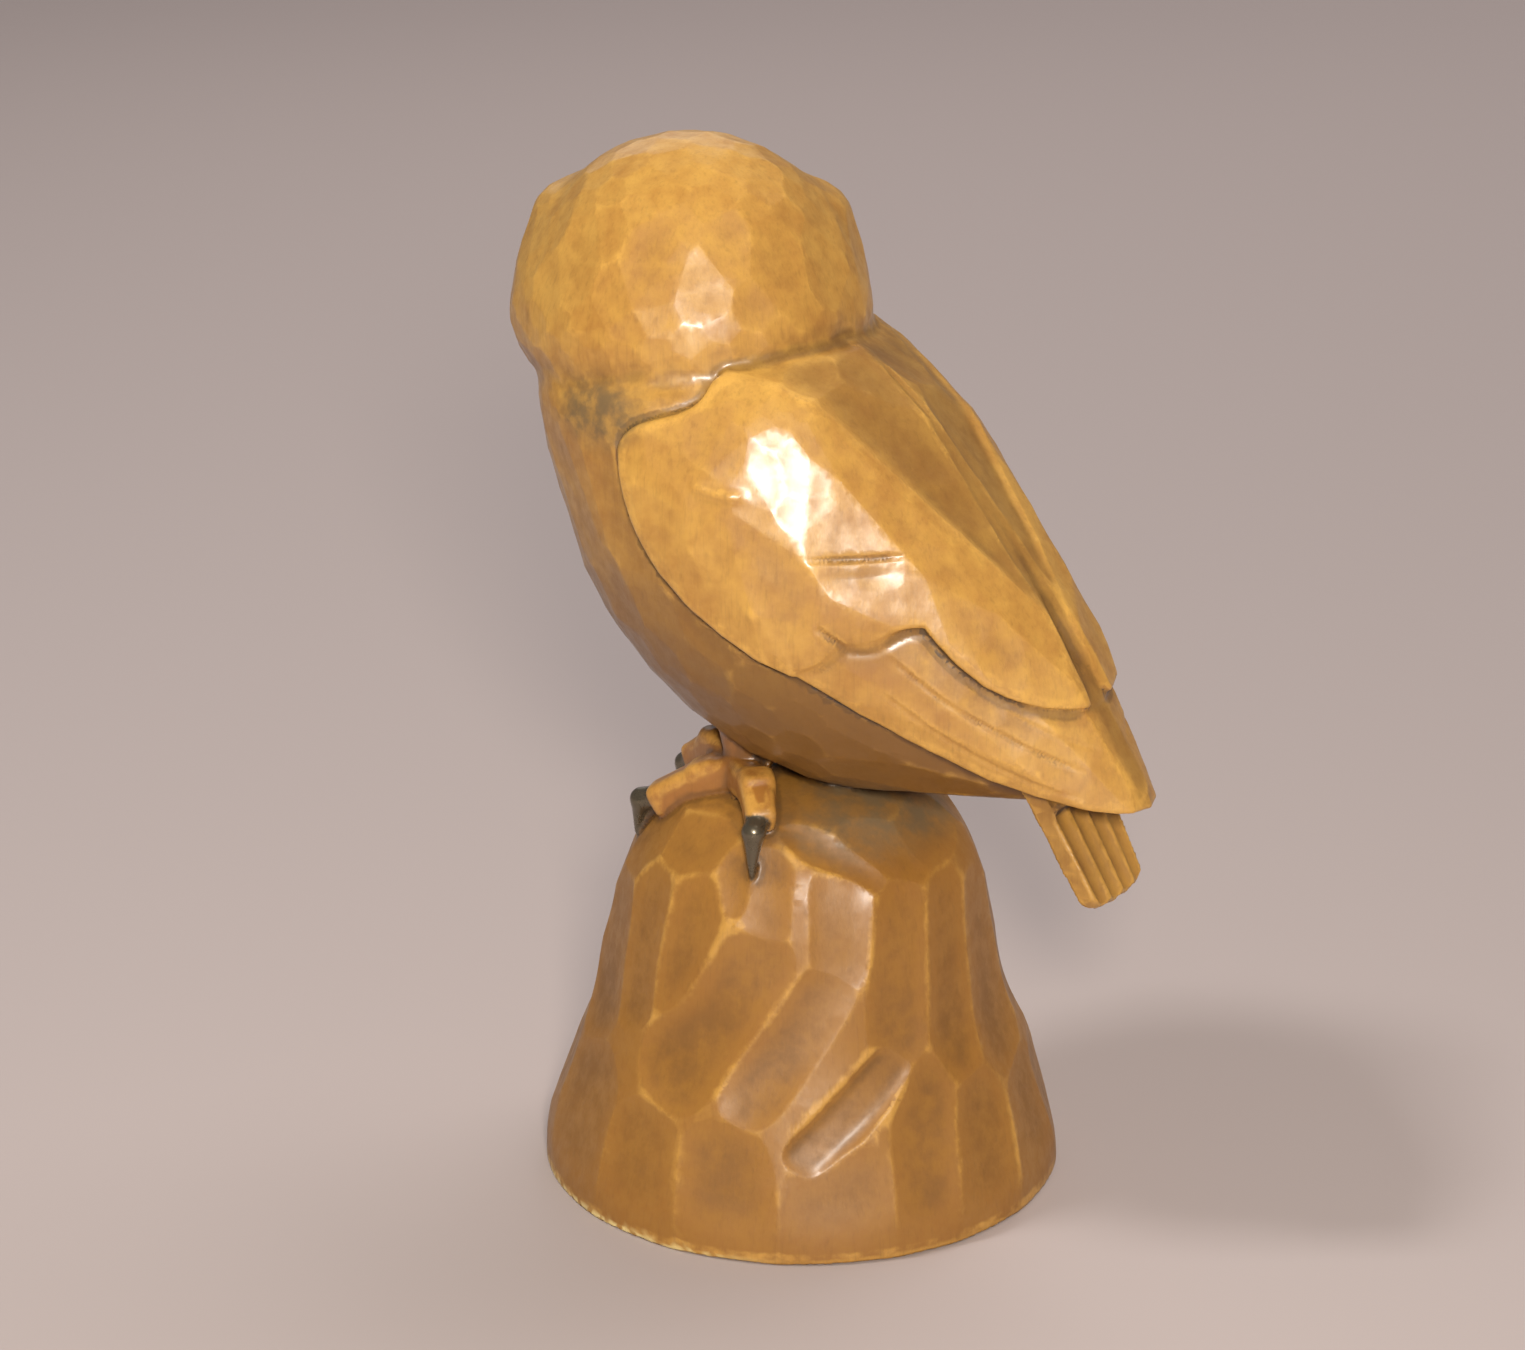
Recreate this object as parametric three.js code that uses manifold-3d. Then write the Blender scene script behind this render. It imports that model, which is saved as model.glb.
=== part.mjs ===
// A carved wooden owl on a tree stump, cut from one block of limewood.
// Millimetres, +Z up. The origin is the centre of the stump's underside.
// The owl's breast faces -Y and its tail hangs past the stump towards +Y.
// Its head is turned over its right shoulder.
import * as THREE from "three";
import { ConvexGeometry } from "three/addons/geometries/ConvexGeometry.js";
import { mergeVertices } from "three/addons/utils/BufferGeometryUtils.js";
import Module from "manifold-3d";

const wasm = await Module();
wasm.setup();

// Driving dimensions

const WOOD = { color: 0xb8833f, roughness: 0.45, metalness: 0 };

// An egg is an ellipsoid: its radii run across the bird, along it and out of its back.
// Its lean is how far its long axis points down at the tail end, in degrees.
const BODY = { at: [0, -1.5, 148], radii: [43.5, 63, 43.5], lean: 41 };
const RUMP = { at: [0, 55, 109], radii: [12, 12, 8], lean: 40 };
const BODY_FACETS = 330;
const BODY_SEED = 11;

// The wing has two layers, each proud of the body and cut with facets of its own.
const FLIGHT = { proud: 2, seed: 23 };
const COVERTS = { proud: 3.6, seed: 29 };
const WING_TIP = { at: [0, 74, 112.5], radii: [11, 18, 6], lean: 50 };
const WING_FACETS = 280;
const WING_TOP = 215;
const WING_REACH = 110;
// From the nape, round under the hood's rim and down the breast.
const WING_FRONT = [
  [21, 199], [12, 197], [3, 194], [-6, 187], [-15, 182],
  [-19, 176], [-17, 167], [-10, 156], [-1, 145.5], [11, 138], [24, 133],
];
const WING_FRONT_STEPS = 20;
const FLIGHT_EDGE = [[24, 133], [33, 128], [56, 113.5], [78, 103], [86.5, 101.5]];
const FLIGHT_EDGE_STEPS = 8;
const FLIGHT_END = [[86.5, 101.5], [89, 104.5], [82, 116]];
const COVERT_SCALLOPS = [
  [[24, 133], [30, 136], [33.5, 140.5]],
  [[33.5, 140.5], [40, 140.5], [46, 145], [49, 144.5]],
  [[49, 144.5], [57, 136.5], [66, 129], [76, 125.5], [84, 127]],
];

const HEAD_TURN = 58;
const HEAD_AT = [0, -29, 203];
const CHEEKS = { at: [0, 0, -6], radii: [40, 34, 26] };
const CROWN = { at: [0, 3, 5], radii: [32, 31, 27.5] };
const BROW = { at: [24, -7, 11], radii: [11.5, 16, 9.5] };
const HEAD_FACETS = 280;
const HEAD_SEED = 31;
const BROW_STEP = 2.5;
const NECK = { at: [0, -21, 185], radii: [42, 37, 16.5] };

// The face's discs are dishes cut by a large ball, turned outwards from the beak.
const DISC = { turn: 29, height: -2, ball: 52, dish: 5, sides: 64, rings: 44 };
const EYE = { radius: 6.5, proud: 2.4, sides: 18, rings: 14 };
const BEAK = [[0, -31, 4], [0, -35.5, -4], [0, -33.5, -12]];
const BEAK_RADII = [2.5, 3.6, 1];

// Lines cut into each wing, as (Y, Z) points seen from the side, with their half width and depth.
const FEATHER_LINES = [
  { route: [[23, 159.5], [31, 157.5], [38, 158.5], [45, 160.5]], width: 1, depth: 1.2 },
  { route: [[41, 139], [52, 129], [66, 119.5], [76, 114]], width: 0.7, depth: 0.6 },
  { route: [[40, 131], [52, 121.5], [66, 112.5], [78, 107]], width: 0.7, depth: 0.6 },
];
const LINE_STEPS = 6;
// The lines along the wings' edges, and how far in Y and Z each is set off from its edge.
const EDGE_LINE = { width: 1.4, depth: 1.6 };
const FRONT_OFFSET = [-1.2, -1];
const COVERT_OFFSET = [0.4, -1.1];
// The front line starts beside the nape and ends where the wing leaves the body.
const FRONT_LINE_SPAN = { from: 2, to: 4 };

const BACK_GROOVE = [[22, 193], [33, 185], [44.4, 174.5], [55.4, 158], [66, 142.5], [78, 127]];
const BACK_GROOVE_STEPS = 9;
const BACK_OUT = [0, 0.875, 0.483];
const BACK_GROOVE_WIDTH = [0.8, 4.2];
const GROOVE_CLEAR = 6;

const TAIL = { from: [0, 60, 112], to: [0, 77.5, 80.5], width: 19, root: 29, thick: 5.5 };
// Each tail feather is flat between these shares of its width, and falls off to a flute.
const TAIL_FEATHERS = { count: 4, flute: 1.4, flat: [0.3, 0.75] };

const TOES = [
  { joints: [[17, -5, 97], [19, -14, 94.5], [22, -25, 86.5]], radii: [5, 4, 3.6], claw: [21, -32, 79] },
  { joints: [[18, -4, 97], [25, 3.5, 96.5], [30.5, 8.5, 92]], radii: [5, 4, 3.4], claw: [33.5, 10.5, 82.5] },
  { joints: [[15, -6, 97], [9, -17, 98.5], [6, -24, 93]], radii: [5, 3.8, 3.2], claw: [4.5, -29, 84] },
];
const CLAW_RADII = [2.6, 0.8];
const THIGH = { from: [16, -5, 112], to: [17, -5, 99], radii: [10, 6] };

// The stump is two chipped masses, each with a half profile of (radius, height) points.
const STUMP_FOOT = { profile: [[58, 0], [56, 14], [49.5, 31], [44, 45], [38, 60]], sides: 12, seed: 5 };
const STUMP_HEAD = {
  profile: [[46, 20], [44, 45], [42, 60], [38.5, 75], [32, 87], [20, 94], [0, 97]],
  sides: 11,
  seed: 9,
};
const STUMP_JOIN = 50;
// How far its facets stray: in share of their spacing, in radians of slope and in depth.
const CHIPS = { turn: 0.6, tilt: 0.12, depth: 0.8 };
// A row has its full number of sides at this radius, and fewer where the stump is thinner.
const FULL_RADIUS = 45;
const FEWEST_CHIPS = 5;
// Each stroke of the gouge: from (turn, height) to (turn, height), its tool's radius and its depth.
// The tool lies outwards of the wood and a little above it, by this share of its radius.
const STROKE_RISE = 0.2;
const STROKES = [
  { from: [55, 82], to: [44, 66], radius: 26, depth: 1.4 },
  { from: [33, 84], to: [29, 66], radius: 10, depth: 1.2 },
  { from: [22, 60], to: [-4, 38], radius: 26, depth: 1.5 },
  { from: [38, 56], to: [12, 32], radius: 15, depth: 1.5 },
  { from: [55, 38], to: [30, 23], radius: 9, depth: 2.2 },
];

// Small tools for solids

const FACET_JITTER = { height: 1.6, turn: 1.8 };
const BLANK = 400;

/** A repeatable stream of numbers from 0 to 1. */
function randomStream(seed) {
  let state = seed;
  return () => {
    state = (state * 1664525 + 1013904223) % 4294967296;
    return state / 4294967296;
  };
}

/** A closed geometry with its shared vertices merged and nothing left but positions. */
function bare(geometry) {
  const plain = geometry.index ? geometry.toNonIndexed() : geometry.clone();
  plain.deleteAttribute("normal");
  plain.deleteAttribute("uv");
  return mergeVertices(plain, 1e-3);
}

/** A manifold solid from a closed three.js geometry. */
function solidOf(geometry) {
  const merged = bare(geometry);
  return new wasm.Manifold(
    new wasm.Mesh({
      numProp: 3,
      vertProperties: new Float32Array(merged.attributes.position.array),
      triVerts: new Uint32Array(merged.index.array),
    }),
  );
}

/** A three.js geometry from a manifold solid. */
function geometryOf(solid) {
  const mesh = solid.getMesh();
  return new THREE.BufferGeometry()
    .setAttribute("position", new THREE.BufferAttribute(mesh.vertProperties, 3))
    .setIndex(new THREE.BufferAttribute(mesh.triVerts, 1));
}

const vector = (place) => new THREE.Vector3(...place);
const together = (solids) => solids.reduce((sum, solid) => sum.add(solid));
const grown = (egg, by) => ({ ...egg, radii: egg.radii.map((radius) => radius + by) });

/** An egg's axes: across the bird, back and down along it, and up out of its back. */
function axesOf(lean) {
  const angle = THREE.MathUtils.degToRad(lean);
  return [
    new THREE.Vector3(1, 0, 0),
    new THREE.Vector3(0, Math.cos(angle), -Math.sin(angle)),
    new THREE.Vector3(0, Math.sin(angle), Math.cos(angle)),
  ];
}

/** How far an egg reaches from the origin along a unit direction. */
function reach(egg, direction) {
  const across = axesOf(egg.lean ?? 0).map((axis, i) => axis.dot(direction) * egg.radii[i]);
  return vector(egg.at).dot(direction) + Math.hypot(...across);
}

/** The solid that flat cuts leave around one or several eggs, one cut for each facet. */
function facetedEggs(eggs, facets, seed) {
  const random = randomStream(seed);
  const golden = Math.PI * (3 - Math.sqrt(5));
  const middle = eggs.reduce((sum, egg) => sum.add(vector(egg.at)), new THREE.Vector3());
  middle.divideScalar(eggs.length);
  let solid = solidOf(new THREE.BoxGeometry(BLANK, BLANK, BLANK).translate(...middle));
  for (let i = 0; i < facets; i++) {
    const z = 1 - (2 * (i + 0.5)) / facets + (random() - 0.5) * (FACET_JITTER.height / facets);
    const turn = golden * i + (random() - 0.5) * (FACET_JITTER.turn / Math.sqrt(facets));
    const flat = Math.sqrt(Math.max(0, 1 - z * z));
    const out = new THREE.Vector3(flat * Math.cos(turn), flat * Math.sin(turn), z);
    const distance = Math.max(...eggs.map((egg) => reach(egg, out)));
    solid = solid.trimByPlane(out.clone().negate().toArray(), -distance);
  }
  return solid;
}

/** A tapered limb with round ends, from one ball to another. */
function limb(from, fromRadius, to, toRadius, detail = 1) {
  const points = [];
  for (const [at, radius] of [[from, fromRadius], [to, toRadius]]) {
    const place = new THREE.IcosahedronGeometry(radius, detail).translate(...at).attributes.position;
    for (let i = 0; i < place.count; i++) points.push(new THREE.Vector3().fromBufferAttribute(place, i));
  }
  return solidOf(new ConvexGeometry(points));
}

/** Limbs end to end, through a list of places with a radius at each. */
function limbChain(places, radii) {
  return together(places.slice(1).map((place, i) => limb(places[i], radii[i], place, radii[i + 1])));
}

/** A plate as seen from the bird's side: an outline of (Y, Z) points, from one X to another. */
function sidePlate(outline, fromX, toX) {
  const shape = new THREE.Shape(outline.map(([y, z]) => new THREE.Vector2(y, z)));
  const plate = new THREE.ExtrudeGeometry(shape, { depth: toX - fromX, bevelEnabled: false });
  const turn = new THREE.Matrix4().makeBasis(vector([0, 1, 0]), vector([0, 0, 1]), vector([1, 0, 0]));
  return solidOf(plate.applyMatrix4(turn).translate(fromX, 0, 0));
}

/** Points on a smooth curve through a few named ones. */
function smooth(points, steps) {
  const curve = new THREE.SplineCurve(points.map(([y, z]) => new THREE.Vector2(y, z)));
  return curve.getPoints(steps).map((point) => [point.x, point.y]);
}

const shifted = (points, [dy, dz]) => points.map(([y, z]) => [y + dy, z + dz]);

/** A V-shaped groove along a route of places, each with the surface's outward direction there. */
function veeGroove(route, halfWidth, depth) {
  const stations = route.map(({ at, out }, i) => {
    const along = route[Math.min(i + 1, route.length - 1)].at.clone();
    along.sub(route[Math.max(i - 1, 0)].at).normalize();
    const side = along.clone().cross(out).normalize();
    const share = i / (route.length - 1);
    const [w, d] = [halfWidth(share), depth(share)];
    const top = d + GROOVE_CLEAR;
    const spread = (w * top) / d;
    const edge = (sign) => at.clone().addScaledVector(side, sign * spread).addScaledVector(out, top - d);
    return [edge(1), edge(-1), at.clone().addScaledVector(out, -d)];
  });
  const pieces = stations.slice(1).map((station, i) => {
    return solidOf(new ConvexGeometry([...stations[i], ...station]));
  });
  return together(pieces);
}

// The body: an egg that leans forward, drawn out to the rump

function body() {
  return facetedEggs([BODY, RUMP], BODY_FACETS, BODY_SEED);
}

/** The neck joins the body's egg to the head, with the body's own facets wherever it adds nothing. */
function neck() {
  return facetedEggs([BODY, NECK], BODY_FACETS, BODY_SEED);
}

// The folded wings: flight feathers under coverts, both cut to a side outline

const wingFront = smooth(WING_FRONT, WING_FRONT_STEPS);
const flightLine = smooth(FLIGHT_EDGE, FLIGHT_EDGE_STEPS).slice(1);
const flightEdge = [...flightLine, ...FLIGHT_END.slice(1)];
const covertEdge = COVERT_SCALLOPS.flatMap((scallop) => smooth(scallop, LINE_STEPS).slice(1));

/** One layer of both wings: a larger egg inside the wing's outline as seen from the side. */
function wingLayer({ proud, seed }, lowerEdge) {
  const mass = facetedEggs([grown(BODY, proud), grown(WING_TIP, proud - FLIGHT.proud)], WING_FACETS, seed);
  const above = [[WING_REACH, lowerEdge.at(-1)[1]], [WING_REACH, WING_TOP], [wingFront[0][0], WING_TOP]];
  return mass.intersect(sidePlate([...wingFront, ...lowerEdge, ...above], -WING_REACH, WING_REACH));
}

/** The skin of a solid, for lines to be laid on. */
function skinOf(solid) {
  return new THREE.Mesh(geometryOf(solid), new THREE.MeshBasicMaterial({ side: THREE.DoubleSide }));
}

/** Where places dropped in one direction meet a skin, each with the skin's outward direction there. */
function laidOn(skin, starts, direction) {
  const hits = starts.map((start) => new THREE.Raycaster(start, direction).intersectObject(skin)[0]);
  return hits.filter(Boolean).map(({ point, face }) => ({ at: point, out: face.normal }));
}

/** Grooves along lines seen from the side, laid on the skin of a solid on both sides of the bird. */
function sideLines(solid, lines) {
  const skin = skinOf(solid);
  const cutters = [1, -1].flatMap((side) =>
    lines.map(({ route, width, depth }) => {
      const starts = route.map(([y, z]) => vector([side * BLANK, y, z]));
      return veeGroove(laidOn(skin, starts, vector([-side, 0, 0])), () => width, () => depth);
    }),
  );
  return together(cutters);
}

/** The wings, with a line cut along the coverts' edge and along each feather. */
function wings() {
  const flight = wingLayer(FLIGHT, flightEdge);
  const edge = shifted(covertEdge.slice(0, -1), COVERT_OFFSET);
  const scored = flight.subtract(sideLines(flight, [{ route: edge, ...EDGE_LINE }]));
  const folded = scored.add(wingLayer(COVERTS, covertEdge));
  const feathers = FEATHER_LINES.map((line) => ({ ...line, route: smooth(line.route, LINE_STEPS) }));
  return folded.subtract(sideLines(folded, feathers));
}

/** The body and neck, with a line cut where each wing's edge meets them. */
function trunk() {
  const solid = body().add(neck());
  const edge = [...wingFront.slice(FRONT_LINE_SPAN.from), ...flightLine.slice(0, FRONT_LINE_SPAN.to)];
  return solid.subtract(sideLines(solid, [{ route: shifted(edge, FRONT_OFFSET), ...EDGE_LINE }]));
}

/** The groove between the wings, which widens and deepens down the back. */
function backGroove(solid) {
  const route = smooth(BACK_GROOVE, BACK_GROOVE_STEPS).map(([y, z]) => vector([0, y, z]));
  const outwards = vector(BACK_OUT).normalize();
  const starts = route.map((place) => place.addScaledVector(outwards, BLANK));
  const hits = laidOn(skinOf(solid), starts, outwards.clone().negate());
  const places = hits.map(({ at }) => ({ at, out: outwards }));
  const width = (share) => THREE.MathUtils.lerp(...BACK_GROOVE_WIDTH, share);
  return veeGroove(places, width, width);
}

// The tail: a tapered slab of long feathers, fluted between them

function tail() {
  const { from, to, width, root, thick } = TAIL;
  const { count, flute, flat } = TAIL_FEATHERS;
  const step = width / count;
  const half = thick / 2;
  const edge = Array.from({ length: count }, (_, i) => {
    const left = -width / 2 + i * step;
    return [[left, half - flute], ...flat.map((share) => [left + step * share, half])];
  }).flat();
  const outline = [...edge, [width / 2, half - flute]];
  const under = outline.map(([x, z]) => [x, -z]).reverse();
  const shape = new THREE.Shape([...outline, ...under].map(([x, z]) => new THREE.Vector2(x, z)));
  const [start, end] = [vector(from), vector(to)];
  const depth = start.distanceTo(end);
  const slab = new THREE.ExtrudeGeometry(shape, { depth, bevelEnabled: false });
  const place = slab.attributes.position;
  for (let i = 0; i < place.count; i++) {
    place.setX(i, place.getX(i) * THREE.MathUtils.mapLinear(place.getZ(i), 0, depth, root / width, 1));
  }
  const along = end.sub(start).normalize();
  const across = vector([1, 0, 0]);
  const turn = new THREE.Matrix4().makeBasis(across, along.clone().cross(across), along);
  return solidOf(slab.applyMatrix4(turn.setPosition(start)));
}

// The head, in a frame of its own that faces -Y until it is turned

function face(mass) {
  let carved = mass;
  for (const side of [1, -1]) {
    const turn = THREE.MathUtils.degToRad(DISC.turn) * side;
    const [across, along] = CHEEKS.radii;
    const skin = vector([across * Math.sin(turn), -along * Math.cos(turn), DISC.height]);
    const out = vector([Math.sin(turn) / across, -Math.cos(turn) / along, 0]).normalize();
    const ball = skin.clone().addScaledVector(out, DISC.ball - DISC.dish);
    const eye = skin.clone().addScaledVector(out, EYE.proud - EYE.radius - DISC.dish);
    carved = carved
      .subtract(solidOf(new THREE.SphereGeometry(DISC.ball, DISC.sides, DISC.rings).translate(...ball)))
      .add(solidOf(new THREE.SphereGeometry(EYE.radius, EYE.sides, EYE.rings).translate(...eye)));
  }
  return carved.add(limbChain(BEAK, BEAK_RADII));
}

function head() {
  const brows = [1, -1].map((side) => ({ ...BROW, at: [side * BROW.at[0], ...BROW.at.slice(1)] }));
  const dome = facetedEggs([CHEEKS, CROWN], HEAD_FACETS, HEAD_SEED);
  const mask = facetedEggs([CHEEKS, grown(CROWN, -BROW_STEP), ...brows], HEAD_FACETS, HEAD_SEED);
  return face(dome.add(mask)).rotate([0, 0, -HEAD_TURN]).translate(HEAD_AT);
}

// The stump: a chipped foot and a chipped head, with longer strokes of the gouge

function stumpRadius(height) {
  const foot = STUMP_FOOT.profile.filter(([, z]) => z < STUMP_JOIN);
  const profile = [...foot, ...STUMP_HEAD.profile.filter(([, z]) => z > STUMP_JOIN)];
  const upper = profile.findIndex(([, z]) => z >= height);
  const [[r1, z1], [r2, z2]] = [profile[upper - 1], profile[upper]];
  return THREE.MathUtils.mapLinear(height, z1, z2, r1, r2);
}

function stumpPlace([turn, height], lift) {
  const angle = THREE.MathUtils.degToRad(turn);
  const radius = stumpRadius(height) + lift;
  return [radius * Math.cos(angle), radius * Math.sin(angle), height + lift * STROKE_RISE];
}

/** The solid that flat cuts leave around a convex profile, with a row of facets at each slope. */
function chippedMass({ profile, sides, seed }) {
  const random = randomStream(seed);
  const [bottom, top] = [profile[0][1], profile.at(-1)[1]];
  let solid = solidOf(new THREE.BoxGeometry(BLANK, BLANK, top - bottom).translate(0, 0, (top + bottom) / 2));
  for (let row = 1; row < profile.length; row++) {
    const [[r1, z1], [r2, z2]] = [profile[row - 1], profile[row]];
    const slope = Math.atan2(r1 - r2, z2 - z1);
    const count = Math.max(FEWEST_CHIPS, Math.round((sides * (r1 + r2)) / (2 * FULL_RADIUS)));
    for (let i = 0; i < count; i++) {
      const turn = ((i + (row % 2) / 2 + (random() - 0.5) * CHIPS.turn) * 2 * Math.PI) / count;
      const tilt = slope + (random() - 0.5) * CHIPS.tilt;
      const out = vector([Math.cos(turn) * Math.cos(tilt), Math.sin(turn) * Math.cos(tilt), Math.sin(tilt)]);
      const reaches = profile.map(([r, z]) => r * Math.cos(tilt) + z * Math.sin(tilt));
      const distance = Math.max(...reaches) - random() * CHIPS.depth;
      solid = solid.trimByPlane(out.clone().negate().toArray(), -distance);
    }
  }
  return solid;
}

function stump() {
  const cuts = STROKES.map(({ from, to, radius, depth }) => {
    const lift = radius - depth;
    return limb(stumpPlace(from, lift), radius, stumpPlace(to, lift), radius, 4);
  });
  return chippedMass(STUMP_FOOT).add(chippedMass(STUMP_HEAD)).subtract(together(cuts));
}

// The feet: a feathered thigh and three toes on each side, each toe with a bent claw

function foot(side) {
  const mirror = ([x, y, z]) => [x * side, y, z];
  const toes = TOES.flatMap(({ joints, radii, claw }) => {
    const places = joints.map(mirror);
    return [limbChain(places, radii), limb(places.at(-1), CLAW_RADII[0], mirror(claw), CLAW_RADII[1])];
  });
  return together([...toes, limb(mirror(THIGH.from), THIGH.radii[0], mirror(THIGH.to), THIGH.radii[1], 2)]);
}

// The whole carving is one piece of wood

const winged = trunk().add(wings());
const bird = winged.subtract(backGroove(winged)).add(head()).add(tail());
const owl = together([bird, stump(), foot(1), foot(-1)]);

const carving = new THREE.Mesh(geometryOf(owl), new THREE.MeshStandardMaterial(WOOD));
carving.name = "carved_owl";

const part = new THREE.Group();
part.add(carving);

export default part;
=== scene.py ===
"""A carved wooden owl on a stump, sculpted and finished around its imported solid.

The knife work is laid out in millimetres in the part's own frame: the breast faces -Y, the tail
hangs towards +Y, the bird's left side is +X and the stump stands on Z = 0. The finished mesh is
in metres. A form is known by its signed distance: how far a point stands proud of the wood.
"""

import logging
import math
from dataclasses import dataclass, field, replace
from enum import Enum
from typing import Callable, Sequence

import bmesh
import bpy
import numpy as np
from mathutils import Matrix, Vector

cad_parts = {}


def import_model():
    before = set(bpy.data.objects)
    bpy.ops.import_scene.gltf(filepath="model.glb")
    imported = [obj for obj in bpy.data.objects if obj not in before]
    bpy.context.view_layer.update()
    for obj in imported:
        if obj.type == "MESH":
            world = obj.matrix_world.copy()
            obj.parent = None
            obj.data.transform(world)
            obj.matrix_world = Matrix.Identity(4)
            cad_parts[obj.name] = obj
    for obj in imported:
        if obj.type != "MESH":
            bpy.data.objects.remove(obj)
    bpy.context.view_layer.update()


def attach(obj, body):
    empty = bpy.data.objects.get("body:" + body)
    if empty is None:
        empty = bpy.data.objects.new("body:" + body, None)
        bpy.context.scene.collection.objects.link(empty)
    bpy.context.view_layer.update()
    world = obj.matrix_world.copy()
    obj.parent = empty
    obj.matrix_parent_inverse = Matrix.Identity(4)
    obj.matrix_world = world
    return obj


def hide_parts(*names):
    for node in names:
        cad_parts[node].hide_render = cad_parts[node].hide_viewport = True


LOG = logging.getLogger("owl")

MILLIMETRE = 0.001
FAR_OFF = 1e3
CHART_MARGIN = 12.0
CHART_SQUARE = 0.3

Array = np.ndarray
Point = tuple[float, float, float]
SidePoint = tuple[float, float]
Reading = tuple[Array, Array]
Box = tuple[Point, Point]
Colour = tuple[float, float, float, float]


class Side(Enum):
    """The two sides of the bird, as signs of X."""

    LEFT = 1
    RIGHT = -1


def random_stream(seed: int) -> Callable[[], float]:
    """A repeatable stream of numbers from 0 to 1.

    Args:
        seed: Where the stream starts.

    Returns:
        A function that gives the next number.
    """
    state = seed

    def draw() -> float:
        """The next number."""
        nonlocal state
        state = (state * 1664525 + 1013904223) % 4294967296
        return state / 4294967296

    return draw


def smooth_curve(points: Sequence[Sequence[float]], steps: int) -> Array:
    """Points along a smooth curve through a few named ones.

    Args:
        points: The places the curve passes through.
        steps: How many steps it is cut into.

    Returns:
        One row for each point of the curve.
    """
    known = np.array(points, float)
    padded = np.vstack([known[:1], known, known[-1:]])
    spots = np.linspace(0, len(known) - 1, steps + 1)
    first = np.minimum(spots.astype(int), len(known) - 2)
    t = (spots - first)[:, None]
    a, b, c, d = (padded[first + i] for i in range(4))
    pull = (c - a) / 2
    push = (d - b) / 2
    bend = 3 * (c - b) - 2 * pull - push
    twist = 2 * (b - c) + pull + push
    return b + pull * t + bend * t**2 + twist * t**3


def beside(route: Array, by: float) -> Array:
    """A flat route moved sideways, to its right as it runs."""
    way = np.gradient(route, axis=0)
    way = way / np.linalg.norm(way, axis=1)[:, None]
    return route + np.column_stack([way[:, 1], -way[:, 0]]) * by


def ramp(values: Array, low: float, high: float) -> Array:
    """Values eased from 0 at low to 1 at high.

    Args:
        values: Any numbers.
        low: Where the result is 0.
        high: Where the result is 1.

    Returns:
        Numbers from 0 to 1.
    """
    share = np.clip((values - low) / (high - low), 0, 1)
    return share * share * (3 - 2 * share)


# Forms


class Form:
    """A solid form that can be read at any point."""

    def read(self, points: Array) -> Reading:
        """How far out each point is, and which way is out.

        Args:
            points: One row for each point, in millimetres.

        Returns:
            Signed distances, negative inside the wood, and the directions in which they grow.
        """
        raise NotImplementedError


@dataclass(frozen=True)
class Egg:
    """An ellipsoid. Its radii run across the bird, along it and out of its back."""

    at: Point
    radii: Point
    lean: float = 0.0

    def axes(self) -> Array:
        """Its three axes as rows: across, down along the lean, and up out of the back."""
        c, s = math.cos(math.radians(self.lean)), math.sin(math.radians(self.lean))
        return np.array([[1, 0, 0], [0, c, -s], [0, s, c]])

    def grown(self, by: float) -> "Egg":
        """The same egg with every radius larger."""
        return replace(self, radii=tuple(radius + by for radius in self.radii))

    def pair(self) -> list["Egg"]:
        """The egg and its mirror image on the bird's other side."""
        x, y, z = self.at
        return [replace(self, at=(side.value * x, y, z)) for side in Side]

    def reach(self, directions: Array) -> Array:
        """How far it reaches from the origin along unit directions."""
        across = directions @ (self.axes().T * np.array(self.radii))
        return directions @ np.array(self.at) + np.linalg.norm(across, axis=1)

    def matrix(self) -> Matrix:
        """What turns a ball of radius 1 into this egg."""
        turned = Matrix((self.axes().T * np.array(self.radii)).tolist()).to_4x4()
        return Matrix.Translation(self.at) @ turned


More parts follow.
